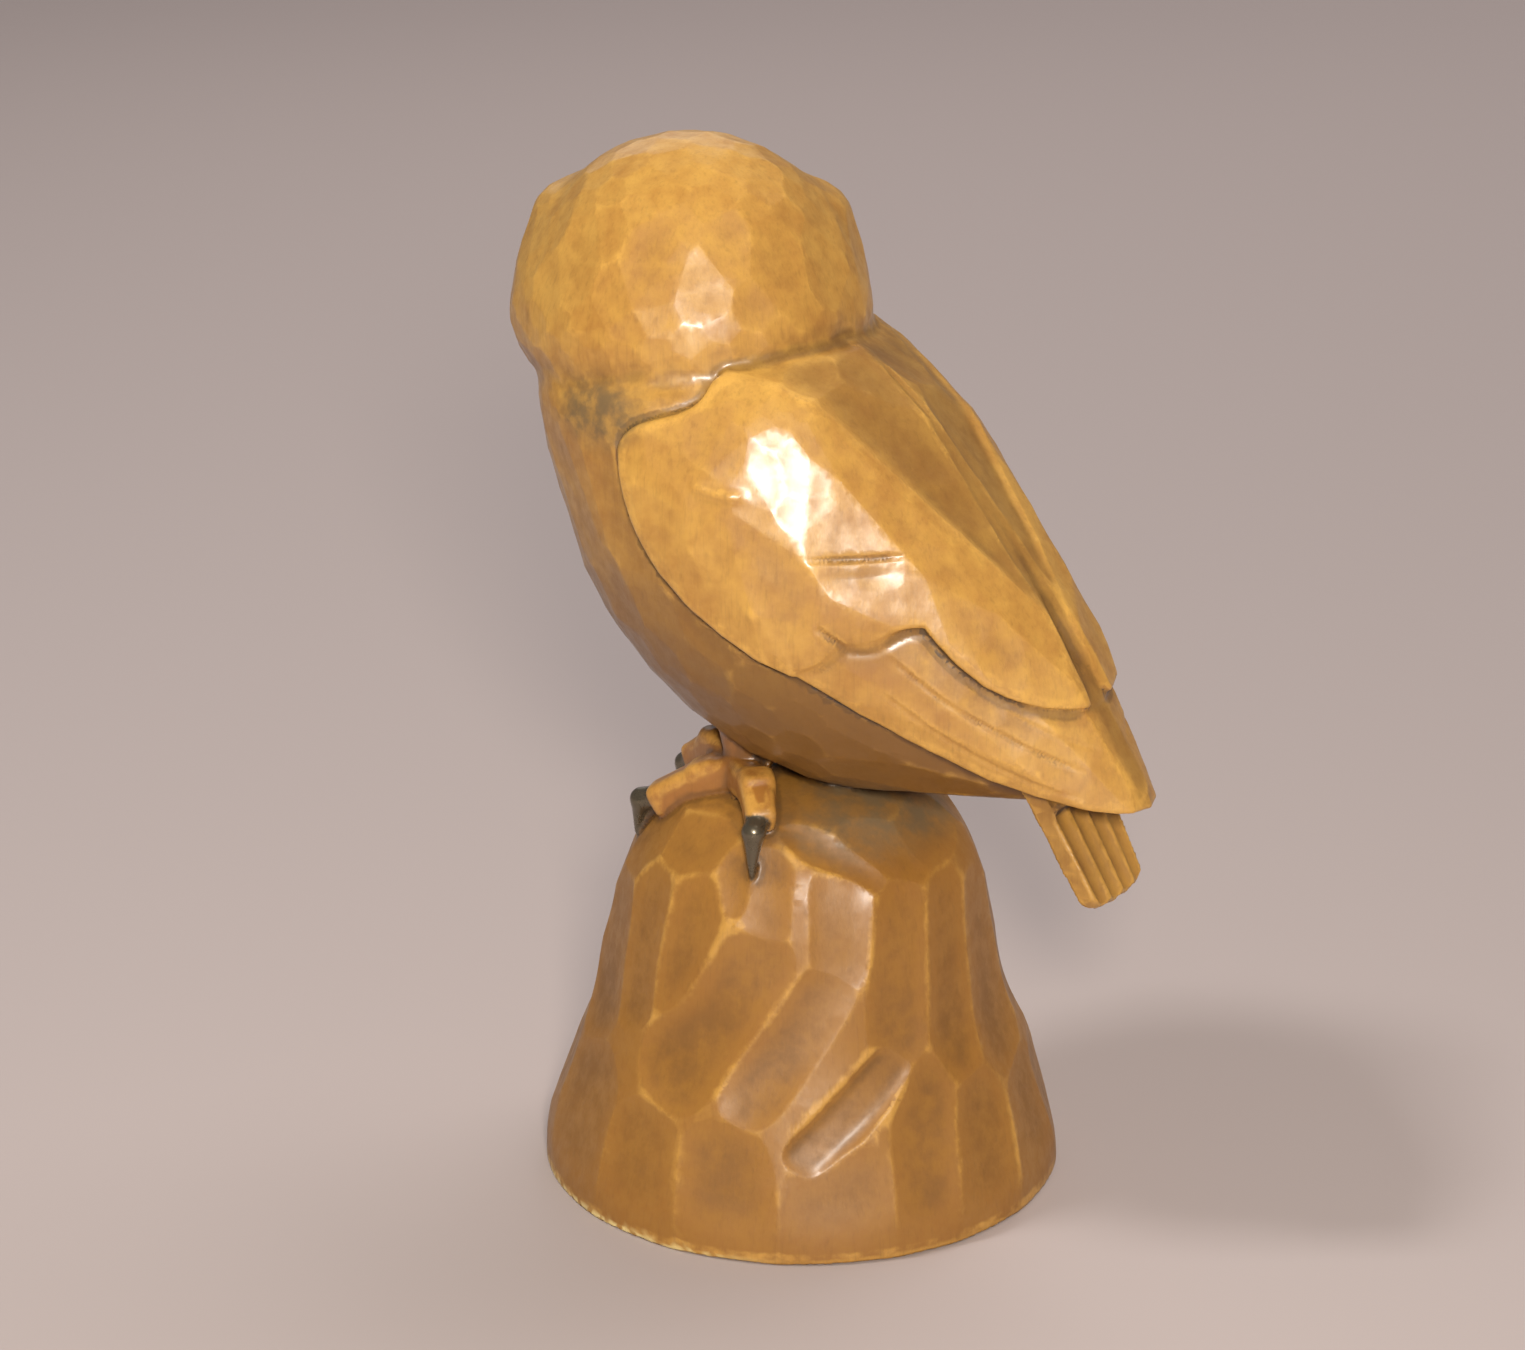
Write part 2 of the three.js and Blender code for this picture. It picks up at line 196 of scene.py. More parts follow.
class Facets(Form):
    """What flat cuts leave around one or several eggs, one cut for each facet."""

    CELL = 10.0
    CELL_CODE = (1, 1000, 1000000)
    HEIGHT_JITTER = 1.6
    TURN_JITTER = 1.8
    UNEVEN = 0.13

    def __init__(self, eggs: Sequence[Egg], count: int, seed: int) -> None:
        """Scatters the cuts evenly over the sphere of directions.

        Args:
            eggs: The masses that the cuts go round.
            count: How many cuts there are.
            seed: Where their stream of random numbers starts.
        """
        draw = np.random.default_rng(seed)
        place = np.arange(count)
        height = 1 - (2 * (place + 0.5)) / count
        height = height + (draw.random(count) - 0.5) * self.HEIGHT_JITTER / count
        height = np.clip(height, -1, 1)
        turn = math.pi * (3 - math.sqrt(5)) * place
        turn += (draw.random(count) - 0.5) * self.TURN_JITTER / math.sqrt(count)
        flat = np.sqrt(1 - height**2)
        self.out = np.column_stack([flat * np.cos(turn), flat * np.sin(turn), height])
        reach = np.max([egg.reach(self.out) for egg in eggs], axis=0)
        self.far = reach - draw.random(count) * self.UNEVEN

    def add_flats(self, directions: Array, eggs: Sequence[Egg], cut: float) -> "Facets":
        """Adds broad flats, each cut a little below the rest.

        Args:
            directions: The unit direction that each flat faces.
            eggs: The masses that they are cut from.
            cut: How deep they go.

        Returns:
            The same form.
        """
        far = np.max([egg.reach(directions) for egg in eggs], axis=0) - cut
        self.out = np.vstack([self.out, directions])
        self.far = np.concatenate([self.far, far])
        return self

    def read(self, points: Array) -> Reading:
        """Reads the outermost of the cuts, trying in each small cell only those that may be it."""
        cell = np.floor(points / self.CELL).astype(int)
        code = cell @ np.array(self.CELL_CODE)
        order = np.argsort(code, kind="stable")
        first = np.flatnonzero(np.diff(code[order], prepend=code[order[:1]] - 1))
        last = np.append(first[1:], len(points))
        rough = (cell[order[first]] + 0.5) * self.CELL @ self.out.T - self.far
        likely = rough > rough.max(1)[:, None] - math.sqrt(3) * self.CELL
        planes = np.vstack([self.out.T, -self.far])
        sorted_points = np.column_stack([points[order], np.ones(len(points))])
        depth = np.empty(len(points))
        pick = np.empty(len(points), int)
        for start, end, row in zip(first, last, likely):
            tried = np.flatnonzero(row)
            height = sorted_points[start:end] @ planes[:, tried]
            best = height.argmax(1)
            spots = order[start:end]
            depth[spots] = height[np.arange(end - start), best]
            pick[spots] = tried[best]
        return depth, self.out[pick]


@dataclass(frozen=True)
class Limb(Form):
    """A tapered limb from one ball to another. A power above 2 squares its section and ends."""

    start: Point
    end: Point
    radii: SidePoint
    power: float = 2.0

    def read(self, points: Array) -> Reading:
        """Reads the distance to the limb's line, less its radius there."""
        start = np.array(self.start)
        along = np.array(self.end) - start
        length = np.linalg.norm(along)
        axis = along / length
        level = np.cross(axis, (0, 0, 1))
        level = level / max(np.linalg.norm(level), 1e-6)
        frame = np.array([axis, level, np.cross(level, axis)])
        local = (points - start) @ frame.T
        share = np.clip(local[:, 0] / length, 0, 1)
        local[:, 0] -= share * length
        size = np.abs(local)
        reach = np.maximum((size**self.power).sum(1) ** (1 / self.power), 1e-9)
        radius = self.radii[0] + share * (self.radii[1] - self.radii[0])
        out = np.sign(local) * (size / reach[:, None]) ** (self.power - 1)
        return reach - radius, out @ frame


def chain(joints: Sequence[Point], radii: Sequence[float], power: float = 2.0) -> list[Limb]:
    """Limbs that run from joint to joint.

    Args:
        joints: The places of the joints.
        radii: The radius at each.
        power: How square the limbs are.

    Returns:
        One limb fewer than there are joints.
    """
    places = list(zip(joints, radii))
    return [Limb(a, b, (ra, rb), power) for (a, ra), (b, rb) in zip(places, places[1:])]


@dataclass(frozen=True)
class Cuts(Form):
    """The common part of a few half spaces."""

    out: Array
    far: Array

    def read(self, points: Array) -> Reading:
        """Reads the outermost of the half spaces."""
        rows = points @ self.out.T - self.far
        best = rows.argmax(1)
        return rows[np.arange(len(rows)), best], self.out[best]


class Chart:
    """Values worked out once on a grid of squares, and read anywhere between its points."""

    def __init__(
        self, work_out: Callable[[Array], Array], low: Array, high: Array, step: float
    ) -> None:
        """Works the values out.

        Args:
            work_out: Gives a row of values for each row of places.
            low: The grid's lower corner.
            high: The grid's upper corner.
            step: How wide a square is.
        """
        self.low = low
        self.step = step
        self.count = np.ceil((high - low) / step).astype(int) + 1
        axes = [start + step * np.arange(count) for start, count in zip(low, self.count)]
        places = np.stack(np.meshgrid(*axes, indexing="ij"), axis=-1).reshape(-1, 2)
        self.values = work_out(places).astype(np.float32)

    def read(self, places: Array) -> Array:
        """Reads a row of values at each row of places."""
        spot = np.clip((places - self.low) / self.step, 0, self.count - 1.001)
        cell = spot.astype(int)
        right, up = (spot - cell).T[:, :, None]
        corner = cell[:, 0] * self.count[1] + cell[:, 1]
        near = self.values[corner] * (1 - up) + self.values[corner + 1] * up
        corner = corner + self.count[1]
        far = self.values[corner] * (1 - up) + self.values[corner + 1] * up
        return near * (1 - right) + far * right


def outline_chart(outline: Array) -> Chart:
    """A chart of signed distances to a closed outline, negative inside, and their slopes.

    Args:
        outline: The outline's corners.

    Returns:
        The chart, with three values for each place.
    """

    def work_out(places: Array) -> Array:
        """Measures each place."""
        nearest = np.full(len(places), FAR_OFF**2)
        away = np.zeros((len(places), 2))
        inside = np.zeros(len(places), bool)
        for start, end in zip(outline, np.roll(outline, -1, axis=0)):
            step = end - start
            share = np.clip((places - start) @ step / max(step @ step, 1e-9), 0, 1)
            off = places - start - share[:, None] * step
            square = (off**2).sum(1)
            closer = square < nearest
            nearest[closer] = square[closer]
            away[closer] = off[closer]
            if step[1]:
                crossing = step[0] * (places[:, 1] - start[1]) / step[1] + start[0]
                spans = (start[1] > places[:, 1]) != (end[1] > places[:, 1])
                inside ^= spans & (places[:, 0] < crossing)
        distance = np.maximum(np.sqrt(nearest), 1e-6)
        sign = np.where(inside, -1.0, 1.0)
        return np.column_stack([sign * distance, away * (sign / distance)[:, None]])

    low, high = outline.min(0) - CHART_MARGIN, outline.max(0) + CHART_MARGIN
    return Chart(work_out, low, high, CHART_SQUARE)


class SidePlate(Form):
    """An outline of (Y, Z) points, as seen from the side, that goes right through the bird."""

    def __init__(self, outline: Array) -> None:
        """Charts the outline."""
        self.chart = outline_chart(outline)

    def read(self, points: Array) -> Reading:
        """Reads the distance to the outline, negative inside it."""
        values = self.chart.read(points[:, 1:])
        out = np.zeros((len(points), 3))
        out[:, 1:] = values[:, 1:]
        return values[:, 0].astype(float), out


class Lathe(Form):
    """A round mass about the Z axis, from a half profile of (radius, height) points."""

    def __init__(self, profile: Array) -> None:
        """Charts the profile and its mirror image."""
        mirror = profile[::-1] * np.array([-1, 1])
        self.chart = outline_chart(np.vstack([profile, mirror]))

    def read(self, points: Array) -> Reading:
        """Reads the distance to the turned profile."""
        radius = np.maximum(np.hypot(points[:, 0], points[:, 1]), 1e-6)
        values = self.chart.read(np.column_stack([radius, points[:, 2]]))
        turned = points[:, :2] / radius[:, None] * values[:, 1:2]
        return values[:, 0].astype(float), np.column_stack([turned, values[:, 2]])


@dataclass(frozen=True)
class Scoop:
    """One cut of the gouge: where it is, which way it runs, and its half sizes and depth.

    Its place is a turn in degrees and a height, and its heading is the angle that it leans from
    upright towards larger turns. Higher powers keep its sides straighter and its floor more level.
    """

    turn: float
    height: float
    heading: float
    half_width: float
    half_length: float
    depth: float
    straight: float = 3.0
    level: float = 2.0


class GougedLathe(Form):
    """A lathe-round mass with hollows cut into its side, each as deep as the deepest cut there."""

    ROUND = 50.0
    SQUARE = 0.3
    FOOT_HEIGHT = 15.0
    FOOT_SHARE = 0.85
    DEPTH_SHARE = 0.78
    PIVOT = 60.0
    LEVEL_STEP = 1e-6
    SPARE_ROUND = 12.0
    SPARE_UP = 45.0

    def __init__(self, profile: Array, cuts: Sequence[Scoop]) -> None:
        """Charts the cuts over the skin, unrolled about the axis.

        Args:
            profile: The half profile, from the foot to the top, as (radius, height) points.
            cuts: The cuts.
        """
        self.lathe = Lathe(profile)
        self.cuts = cuts
        steps = np.linalg.norm(np.diff(profile, axis=0), axis=1)
        self.run = np.concatenate([[0], np.cumsum(steps)])
        self.radius, self.height = profile.T
        rising = np.arange(len(profile)) * self.LEVEL_STEP
        self.level = self.climb(self.radius, self.height) + rising
        half = self.ROUND * math.pi
        low, high = np.array([-half, 0.0]), np.array([half, self.run[-1]])
        self.chart = Chart(self.work_out, low, high, self.SQUARE)

    def climb(self, radius: Array, height: Array) -> Array:
        """A measure that grows up the side and then over the top, about a pivot on the axis."""
        over = np.arctan2(height - self.PIVOT, np.maximum(radius, 1e-6))
        return np.where(height < self.PIVOT, height, self.PIVOT + over * self.ROUND)

    def work_out(self, places: Array) -> Array:
        """The depth of the cuts at each unrolled place, and its two slopes."""
        turn = places[:, 0] / self.ROUND
        radius = np.interp(places[:, 1], self.run, self.radius)
        depth = np.zeros(len(places))
        slope = np.zeros((len(places), 2))
        for cut in self.cuts:
            up = float(np.interp(cut.height, self.height, self.run))
            gap = (turn - math.radians(cut.turn) + math.pi) % (2 * math.pi) - math.pi
            c, s = math.cos(math.radians(cut.heading)), math.sin(math.radians(cut.heading))
            beside_it = np.abs(gap * radius) < cut.half_length + self.SPARE_ROUND
            near = np.flatnonzero(beside_it & (np.abs(places[:, 1] - up) < self.SPARE_UP))
            east, north = gap[near] * radius[near], places[near, 1] - up
            across = (east * c - north * s) / cut.half_width
            along = (east * s + north * c) / cut.half_length
            foot = 1 - ramp(places[near, 1], 0, self.FOOT_HEIGHT)
            deep = cut.depth * self.DEPTH_SHARE * (1 - self.FOOT_SHARE * foot)
            wide, long = np.abs(across), np.abs(along)
            hollow = deep * (1 - wide**cut.level - long**cut.straight)
            fall_across = -cut.level * deep * np.sign(across) * wide ** (cut.level - 1)
            fall_across = fall_across / cut.half_width
            fall_along = -cut.straight * deep * np.sign(along) * long ** (cut.straight - 1)
            fall_along = fall_along / cut.half_length
            deeper = hollow > depth[near]
            spots = near[deeper]
            depth[spots] = hollow[deeper]
            slope[spots, 0] = (fall_across * c + fall_along * s)[deeper]
            slope[spots, 1] = (fall_along * c - fall_across * s)[deeper]
        return np.column_stack([depth, slope])

    def read(self, points: Array) -> Reading:
        """Reads the round mass, lowered by the cuts."""
        depth, out = self.lathe.read(points)
        turn = np.arctan2(points[:, 1], points[:, 0])
        radius = np.hypot(points[:, 0], points[:, 1])
        run = np.interp(self.climb(radius, points[:, 2]), self.level, self.run)
        values = self.chart.read(np.column_stack([turn * self.ROUND, run]))
        east = np.column_stack([-np.sin(turn), np.cos(turn), np.zeros(len(turn))])
        north = np.cross(out, east)
        out = out + east * values[:, 1:2] + north * values[:, 2:3]
        return depth + values[:, 0], out


@dataclass(frozen=True)
class Join(Form):
    """Several forms as one, with a fillet where they meet."""

    members: Sequence[Form]
    fillet: float = 0.0

    def read(self, points: Array) -> Reading:
        """Reads the lowest of the members, eased over the fillet."""
        depth, out = self.members[0].read(points)
        for member in self.members[1:]:
            depth, out = eased_least(depth, out, *member.read(points), self.fillet)
        return depth, out


@dataclass(frozen=True)
class Common(Form):
    """What several forms have in common, with its edges rounded over."""

    members: Sequence[Form]
    rounding: float = 0.0

    def read(self, points: Array) -> Reading:
        """Reads the highest of the members, eased over the rounding."""
        depth, out = self.members[0].read(points)
        for member in self.members[1:]:
            depth, out = eased_most(depth, out, *member.read(points), self.rounding)
        return depth, out


@dataclass(frozen=True)
class Less(Form):
    """A form with others cut out of it."""

    body: Form
    tools: Sequence[Form]
    rounding: float = 0.0

    def read(self, points: Array) -> Reading:
        """Reads the body, or the inside of a tool where that stands higher."""
        depth, out = self.body.read(points)
        for tool in self.tools:
            other, other_out = tool.read(points)
            depth, out = eased_most(depth, out, -other, -other_out, self.rounding)
        return depth, out


def eased_least(a: Array, a_out: Array, b: Array, b_out: Array, ease: float) -> Reading:
    """The lower of two readings, with a smooth passage between them.

    Args:
        a: One form's distances.
        a_out: Its outward directions.
        b: The other form's distances.
        b_out: Its outward directions.
        ease: How wide the passage is, or 0 for a crisp one.

    Returns:
        The distances and directions of both together.
    """
    if ease <= 0:
        share = (a < b).astype(float)
        return np.where(a < b, a, b), np.where(share[:, None] > 0, a_out, b_out)
    share = np.clip(0.5 + 0.5 * (b - a) / ease, 0, 1)
    depth = b + (a - b) * share - ease * share * (1 - share)
    return depth, b_out + (a_out - b_out) * share[:, None]


def eased_most(a: Array, a_out: Array, b: Array, b_out: Array, ease: float) -> Reading:
    """The higher of two readings, with the same passage between them."""
    depth, out = eased_least(-a, -a_out, -b, -b_out, ease)
    return -depth, -out


@dataclass(frozen=True)
class Within(Form):
    """A form that is only read inside a box, to save time. Its reach ends well inside it."""

    form: Form
    low: Point
    high: Point

    def read(self, points: Array) -> Reading:
        """Reads the form inside the box, and far off elsewhere."""
        near = np.all((points > self.low) & (points < self.high), axis=1)
        depth = np.full(len(points), FAR_OFF)
        out = np.zeros((len(points), 3))
        out[:, 2] = 1
        if near.any():
            depth[near], out[near] = self.form.read(points[near])
        return depth, out


@dataclass(frozen=True)
class BothSides(Form):
    """A form of the bird's left side, read on its right side too."""

    form: Form

    def read(self, points: Array) -> Reading:
        """Reads the form at the mirrored points."""
        sign = np.where(points[:, 0] < 0, -1.0, 1.0)
        mirrored = points.copy()
        mirrored[:, 0] *= sign
        depth, out = self.form.read(mirrored)
        out = out.copy()
        out[:, 0] *= sign
        return depth, out


@dataclass(frozen=True)
class Turned(Form):
    """A form in a frame of its own, turned about Z and then moved."""

    form: Form
    turn: float
    at: Point

    def read(self, points: Array) -> Reading:
        """Reads the form in its own frame."""
        c, s = math.cos(math.radians(self.turn)), math.sin(math.radians(self.turn))
        frame = np.array([[c, -s, 0], [s, c, 0], [0, 0, 1]])
        depth, out = self.form.read((points - np.array(self.at)) @ frame)
        return depth, out @ frame.T


# Marks: shallow cuts and ridges laid on a form's skin


class Mark:
    """A shallow mark in a skin."""

    def read(self, points: Array) -> Reading:
        """How deep the mark is at each point, and which way it deepens."""
        raise NotImplementedError


class SideLine(Mark):
    """A line cut on both sides of the bird, laid out as seen from its side."""

    SQUARE = 0.2

    def __init__(
        self,
        route: Array,
        width: float,
        depth: float,
        fade: float = 3.0,
        hollow: float = 0.0,
        power: float = 1.5,
    ) -> None:
        """Charts the line's depth.

        Args:
            route: The places it passes through.
            width: How far its sides reach from the route.
            depth: How deep it goes. A negative depth raises a ridge instead.
            fade: How far from each end it comes to its depth.
            hollow: How far a shallow hollow reaches below the line, or 0 for none.
            power: How steeply its sides fall, 1 for straight ones.
        """
        self.route = route
        self.width = width
        self.depth = depth
        self.fade = fade
        self.hollow = hollow
        self.power = power
        reach = max(width, 3 * hollow) + 1
        self.low = route.min(0) - reach
        self.high = route.max(0) + reach
        self.chart = Chart(self.work_out, self.low, self.high, self.SQUARE)

    def work_out(self, places: Array) -> Array:
        """The line's depth at each place and its two slopes."""
        distance, off, along, below = self.nearest(places)
        length = along.max()
        ends = ramp(along, 0, self.fade) * ramp(length - along, 0, self.fade)
        slow = below & (self.hollow > 0)
        share = distance / np.where(slow, self.hollow, self.width)
        rest = np.clip(1 - share, 0, 1)
        profile = np.where(slow, np.exp(-share * share), rest**self.power)
        slow_fall = -2 * share * profile / max(self.hollow, 1e-6)
        steep_fall = -self.power * rest ** (self.power - 1) / self.width * (share < 1)
        fall = np.where(slow, slow_fall, steep_fall)
        deep = self.depth * ends
        return np.column_stack([deep * profile, (deep * fall)[:, None] * off])

    def nearest(self, places: Array) -> tuple[Array, Array, Array, Array]:
        """Each place's distance to the route, the way off it, how far along, and if below."""
        best = np.full(len(places), FAR_OFF**2)
        off = np.zeros((len(places), 2))
        along = np.zeros(len(places))
        below = np.zeros(len(places), bool)
        run = 0.0
        for start, end in zip(self.route[:-1], self.route[1:]):
            step = end - start
            length = np.linalg.norm(step)
            share = np.clip((places - start) @ step / length**2, 0, 1)
            gap = places - start - share[:, None] * step
            square = (gap**2).sum(1)
            closer = square < best
            best[closer] = square[closer]
            off[closer] = gap[closer]
            along[closer] = run + share[closer] * length
            below[closer] = gap[closer] @ np.array([step[1], -step[0]]) > 0
            run += length
        distance = np.maximum(np.sqrt(best), 1e-6)
        return distance, off / distance[:, None], along, below

    def read(self, points: Array) -> Reading:
        """Reads the line's depth off its chart."""
        depth = np.zeros(len(points))
        slope = np.zeros((len(points), 3))
        side = points[:, 1:]
        near = np.all((side > self.low) & (side < self.high), axis=1)
        spots = np.flatnonzero(near)
        if len(spots):
            values = self.chart.read(side[spots])
            depth[spots] = values[:, 0]
            slope[spots, 1:] = values[:, 1:]
        return depth, slope


@dataclass(frozen=True)
class BackMark(Mark):
    """A mark laid out down the slope of the back."""

    out: SidePoint = (0.875, 0.483)

    def run(self, points: Array) -> Array:
        """How far down the back each point is."""
        return points[:, 1] * self.out[1] - points[:, 2] * self.out[0]

    def rise(self, points: Array) -> Array:
        """How far out of the back each point is."""
        return points[:, 1] * self.out[0] + points[:, 2] * self.out[1]


@dataclass(frozen=True)
class BackGroove(BackMark):
    """The V-shaped groove between the wings, which widens down the back."""

    along: SidePoint = (-156.0, -72.0)
    widths: SidePoint = (1.3, 5.6)
    flare: float = 1.3
    steep: float = 0.6
    start_fade: SidePoint = (-8.0, 6.0)
    fade: float = 2.5
    above: float = 100.0

    def read(self, points: Array) -> Reading:
        """Reads the groove's depth from each point's distance to the middle of the back."""
        run = self.run(points)
        start, end = self.along
        share = np.clip((run - start) / (end - start), 0, 1)
        half = self.widths[0] + share**self.flare * (self.widths[1] - self.widths[0])
        shown = ramp(run, start + self.start_fade[0], start + self.start_fade[1])
        shown = shown * (1 - ramp(run, end - self.fade, end))
        shown = shown * (self.rise(points) > self.above)
        depth = np.clip(half - np.abs(points[:, 0]), 0, None) * shown * self.steep
        slope = np.zeros((len(points), 3))
        slope[:, 0] = -np.sign(points[:, 0]) * (depth > 0) * self.steep
        return depth, slope


@dataclass(frozen=True)
class BackBand(BackMark):
    """The shallow channel on each side of that groove, out to a ridge that closes in on it."""

    start: float = -168.0
    half_width: float = 30.8
    taper: float = 0.36
    least: float = 3.0
    depth: float = 1.7
    full: float = 12.0
    behind: SidePoint = (74.0, 90.0)

    def share(self, points: Array) -> tuple[Array, Array]:
        """How far out each point is, from the middle to the ridge, and the half width there."""
        half = self.half_width - self.taper * (self.run(points) - self.start)
        half = np.clip(half, self.least, self.half_width)
        return np.abs(points[:, 0]) / half, half

    def read(self, points: Array) -> Reading:
        """Reads the channel's depth from each point's place across the band."""
        share, half = self.share(points)
        shown = ramp(self.rise(points), *self.behind)
        deep = 4 * self.depth * shown * ramp(half, self.least, self.full) * (share < 1)
        depth = deep * share * (1 - share)
        steep = deep * (1 - 2 * share) / half
        along = steep * share * self.taper * (half > self.least)
        flat = np.sign(points[:, 0]) * steep
        return depth, np.column_stack([flat, along * self.out[1], -along * self.out[0]])


class KnifeCuts(Mark):
    """Shallow dishes all over a skin, one for each short cut, that meet in low ridges."""

    SPREAD = 64
    STEPS = (73, 179, 283)

    def __init__(self, width: float, depth: float, seed: int) -> None:
        """Scatters the cuts.

        Args:
            width: How far apart the cuts lie.
            depth: How deep each is in its middle.
            seed: Where their stream of random numbers starts.
        """
        self.width = width
        self.depth = depth
        self.places = np.random.default_rng(seed).random((self.SPREAD**2, 3))

    def read(self, points: Array) -> Reading:
        """Reads the depth from how far off the nearest cut's middle is."""
        scaled = points / self.width
        cell = np.floor(scaled).astype(int)
        best = np.full(len(points), FAR_OFF)
        off = np.zeros((len(points), 3))
        for x, y, z in np.ndindex(3, 3, 3):
            near = cell + (x - 1, y - 1, z - 1)
            middle = near + self.places[(near @ np.array(self.STEPS)) % len(self.places)]
            gap = scaled - middle
            square = (gap**2).sum(1)
            closer = square < best
            best[closer] = square[closer]
            off[closer] = gap[closer]
        return self.depth * (1 - best), -2 * self.depth / self.width * off


@dataclass(frozen=True)
class Marked(Form):
    """A form with marks in its skin."""

    form: Form
    marks: Sequence[Mark]

    def read(self, points: Array) -> Reading:
        """Reads the form, lowered by each of its marks."""
        depth, out = self.form.read(points)
        for mark in self.marks:
            cut, slope = mark.read(points)
            depth = depth + cut
            out = out + slope
        return depth, out


# The blank, and the knife that shapes it


class Blank:
    """Overlapping lumps of wood that are fused into one rough carving."""

    CONE_SIDES = 48
    LEAST_TOP = 0.5

    def __init__(self) -> None:
        """Starts with no lumps."""
        self.lumps = bmesh.new()

    def hull(
        self, eggs: Sequence[Egg], cuts: Sequence[tuple[Point, Point]] = (), finer: int = 4
    ) -> None:
        """Adds the tight skin round a few eggs.

        Args:
            eggs: The masses inside the skin.
            cuts: Planes, each a place and the direction of what is cut away.
            finer: How finely the balls are divided.
        """
        lump = bmesh.new()
        for egg in eggs:
            bmesh.ops.create_icosphere(lump, subdivisions=finer, radius=1, matrix=egg.matrix())
        bmesh.ops.delete(lump, geom=lump.faces[:], context="FACES_ONLY")
        bmesh.ops.delete(lump, geom=lump.edges[:], context="EDGES_FACES")
        made = bmesh.ops.convex_hull(lump, input=lump.verts[:])
        spare = made["geom_interior"] + made["geom_unused"]
        spare = {item for item in spare if isinstance(item, bmesh.types.BMVert)}
        bmesh.ops.delete(lump, geom=list(spare), context="VERTS")
        for place, away in cuts:
            cut = bmesh.ops.bisect_plane(
                lump,
                geom=lump.verts[:] + lump.edges[:] + lump.faces[:],
                plane_co=place,
                plane_no=away,
                clear_outer=True,
            )
            rim = [item for item in cut["geom_cut"] if isinstance(item, bmesh.types.BMEdge)]
            bmesh.ops.contextual_create(lump, geom=rim)
        self.take(lump)

    def limb(self, limb: Limb, side: Side = Side.LEFT) -> None:
        """Adds the skin round a limb of the left side, or round its mirror image."""
        ends = zip((limb.start, limb.end), limb.radii)
        self.hull([Egg((x * side.value, y, z), (r,) * 3) for (x, y, z), r in ends], finer=2)

    def cone(self, lower: SidePoint, upper: SidePoint) -> None:
        """Adds a cone frustum that stands on the Z axis.

        Args:
            lower: The radius and height of its foot.
            upper: The radius and height of its top.
        """
        lump = bmesh.new()
        (r1, z1), (r2, z2) = lower, upper
        bmesh.ops.create_cone(
            lump,
            cap_ends=True,
            segments=self.CONE_SIDES,
            radius1=r1,
            radius2=max(r2, self.LEAST_TOP),
            depth=z2 - z1,
            matrix=Matrix.Translation((0, 0, (z1 + z2) / 2)),
        )
        self.take(lump)

    def slab(self, frame: Matrix, size: Point, root: float) -> None:
        """Adds a slab that tapers along its own Z axis.

        Args:
            frame: The frame of the slab's root.
            size: Its width at the tip, its thickness and its length.
            root: Its width at the root.
        """
        lump = bmesh.new()
        bmesh.ops.create_cube(lump, size=1)
        for vertex in lump.verts:
            width = size[0] if vertex.co.z > 0 else root
            vertex.co = (vertex.co.x * width, vertex.co.y * size[1], (vertex.co.z + 0.5) * size[2])
        bmesh.ops.transform(lump, matrix=frame, verts=lump.verts)
        self.take(lump)

    def take(self, lump: bmesh.types.BMesh) -> None:
        """Adds a finished lump to the blank.

        Args:
            lump: A closed mesh, which is used up.
        """
        bmesh.ops.triangulate(lump, faces=lump.faces)
        bmesh.ops.recalc_face_normals(lump, faces=lump.faces)
        holder = bpy.data.meshes.new("lump")
        lump.to_mesh(holder)
        lump.free()
        self.lumps.from_mesh(holder)
        bpy.data.meshes.remove(holder)

    def fused(self, voxel: float) -> bpy.types.Mesh:
        """Fuses the lumps into one skin of small squares.

        Args:
            voxel: How wide a square is.

        Returns:
            The rough carving's mesh, in millimetres.
        """
        mesh = bpy.data.meshes.new("blank")
        self.lumps.to_mesh(mesh)
        self.lumps.free()
        return remeshed(mesh, voxel)


def placed(name: str, data: bpy.types.ID) -> bpy.types.Object:
    """A new object that shows a mesh, a lamp or a camera, linked to the scene."""
    item = bpy.data.objects.new(name, data)
    bpy.context.scene.collection.objects.link(item)
    return item


def read_values(items: bpy.types.bpy_prop_collection, name: str, width: int, kind: type) -> Array:
    """One value of all of a mesh's items.

    Args:
        items: The mesh's vertices, edges, faces or corners.
        name: The value's name.
        width: How many numbers it has.
        kind: Their type.

    Returns:
        A row of numbers, or one row for each item if the value has several.
    """
    flat = np.empty(len(items) * width, kind)
    items.foreach_get(name, flat)
    return flat if width == 1 else flat.reshape(-1, width)


def with_modifier(mesh: bpy.types.Mesh, kind: str, **settings: object) -> bpy.types.Mesh:
    """A mesh with one modifier applied, in place of the mesh itself.

    Args:
        mesh: The mesh, which is used up.
        kind: The modifier's type.
        **settings: The modifier's settings.

    Returns:
        The new mesh.
    """
    holder = placed("holder", mesh)
    modifier = holder.modifiers.new("step", kind)
    for name, value in settings.items():
        setattr(modifier, name, value)
    evaluated = holder.evaluated_get(bpy.context.evaluated_depsgraph_get())
    made = bpy.data.meshes.new_from_object(evaluated)
    bpy.data.objects.remove(holder)
    bpy.data.meshes.remove(mesh)
    return made


def triangles(mesh: bpy.types.Mesh) -> int:
    """How many triangles a mesh has when its faces are divided."""
    return sum(len(polygon.vertices) - 2 for polygon in mesh.polygons)


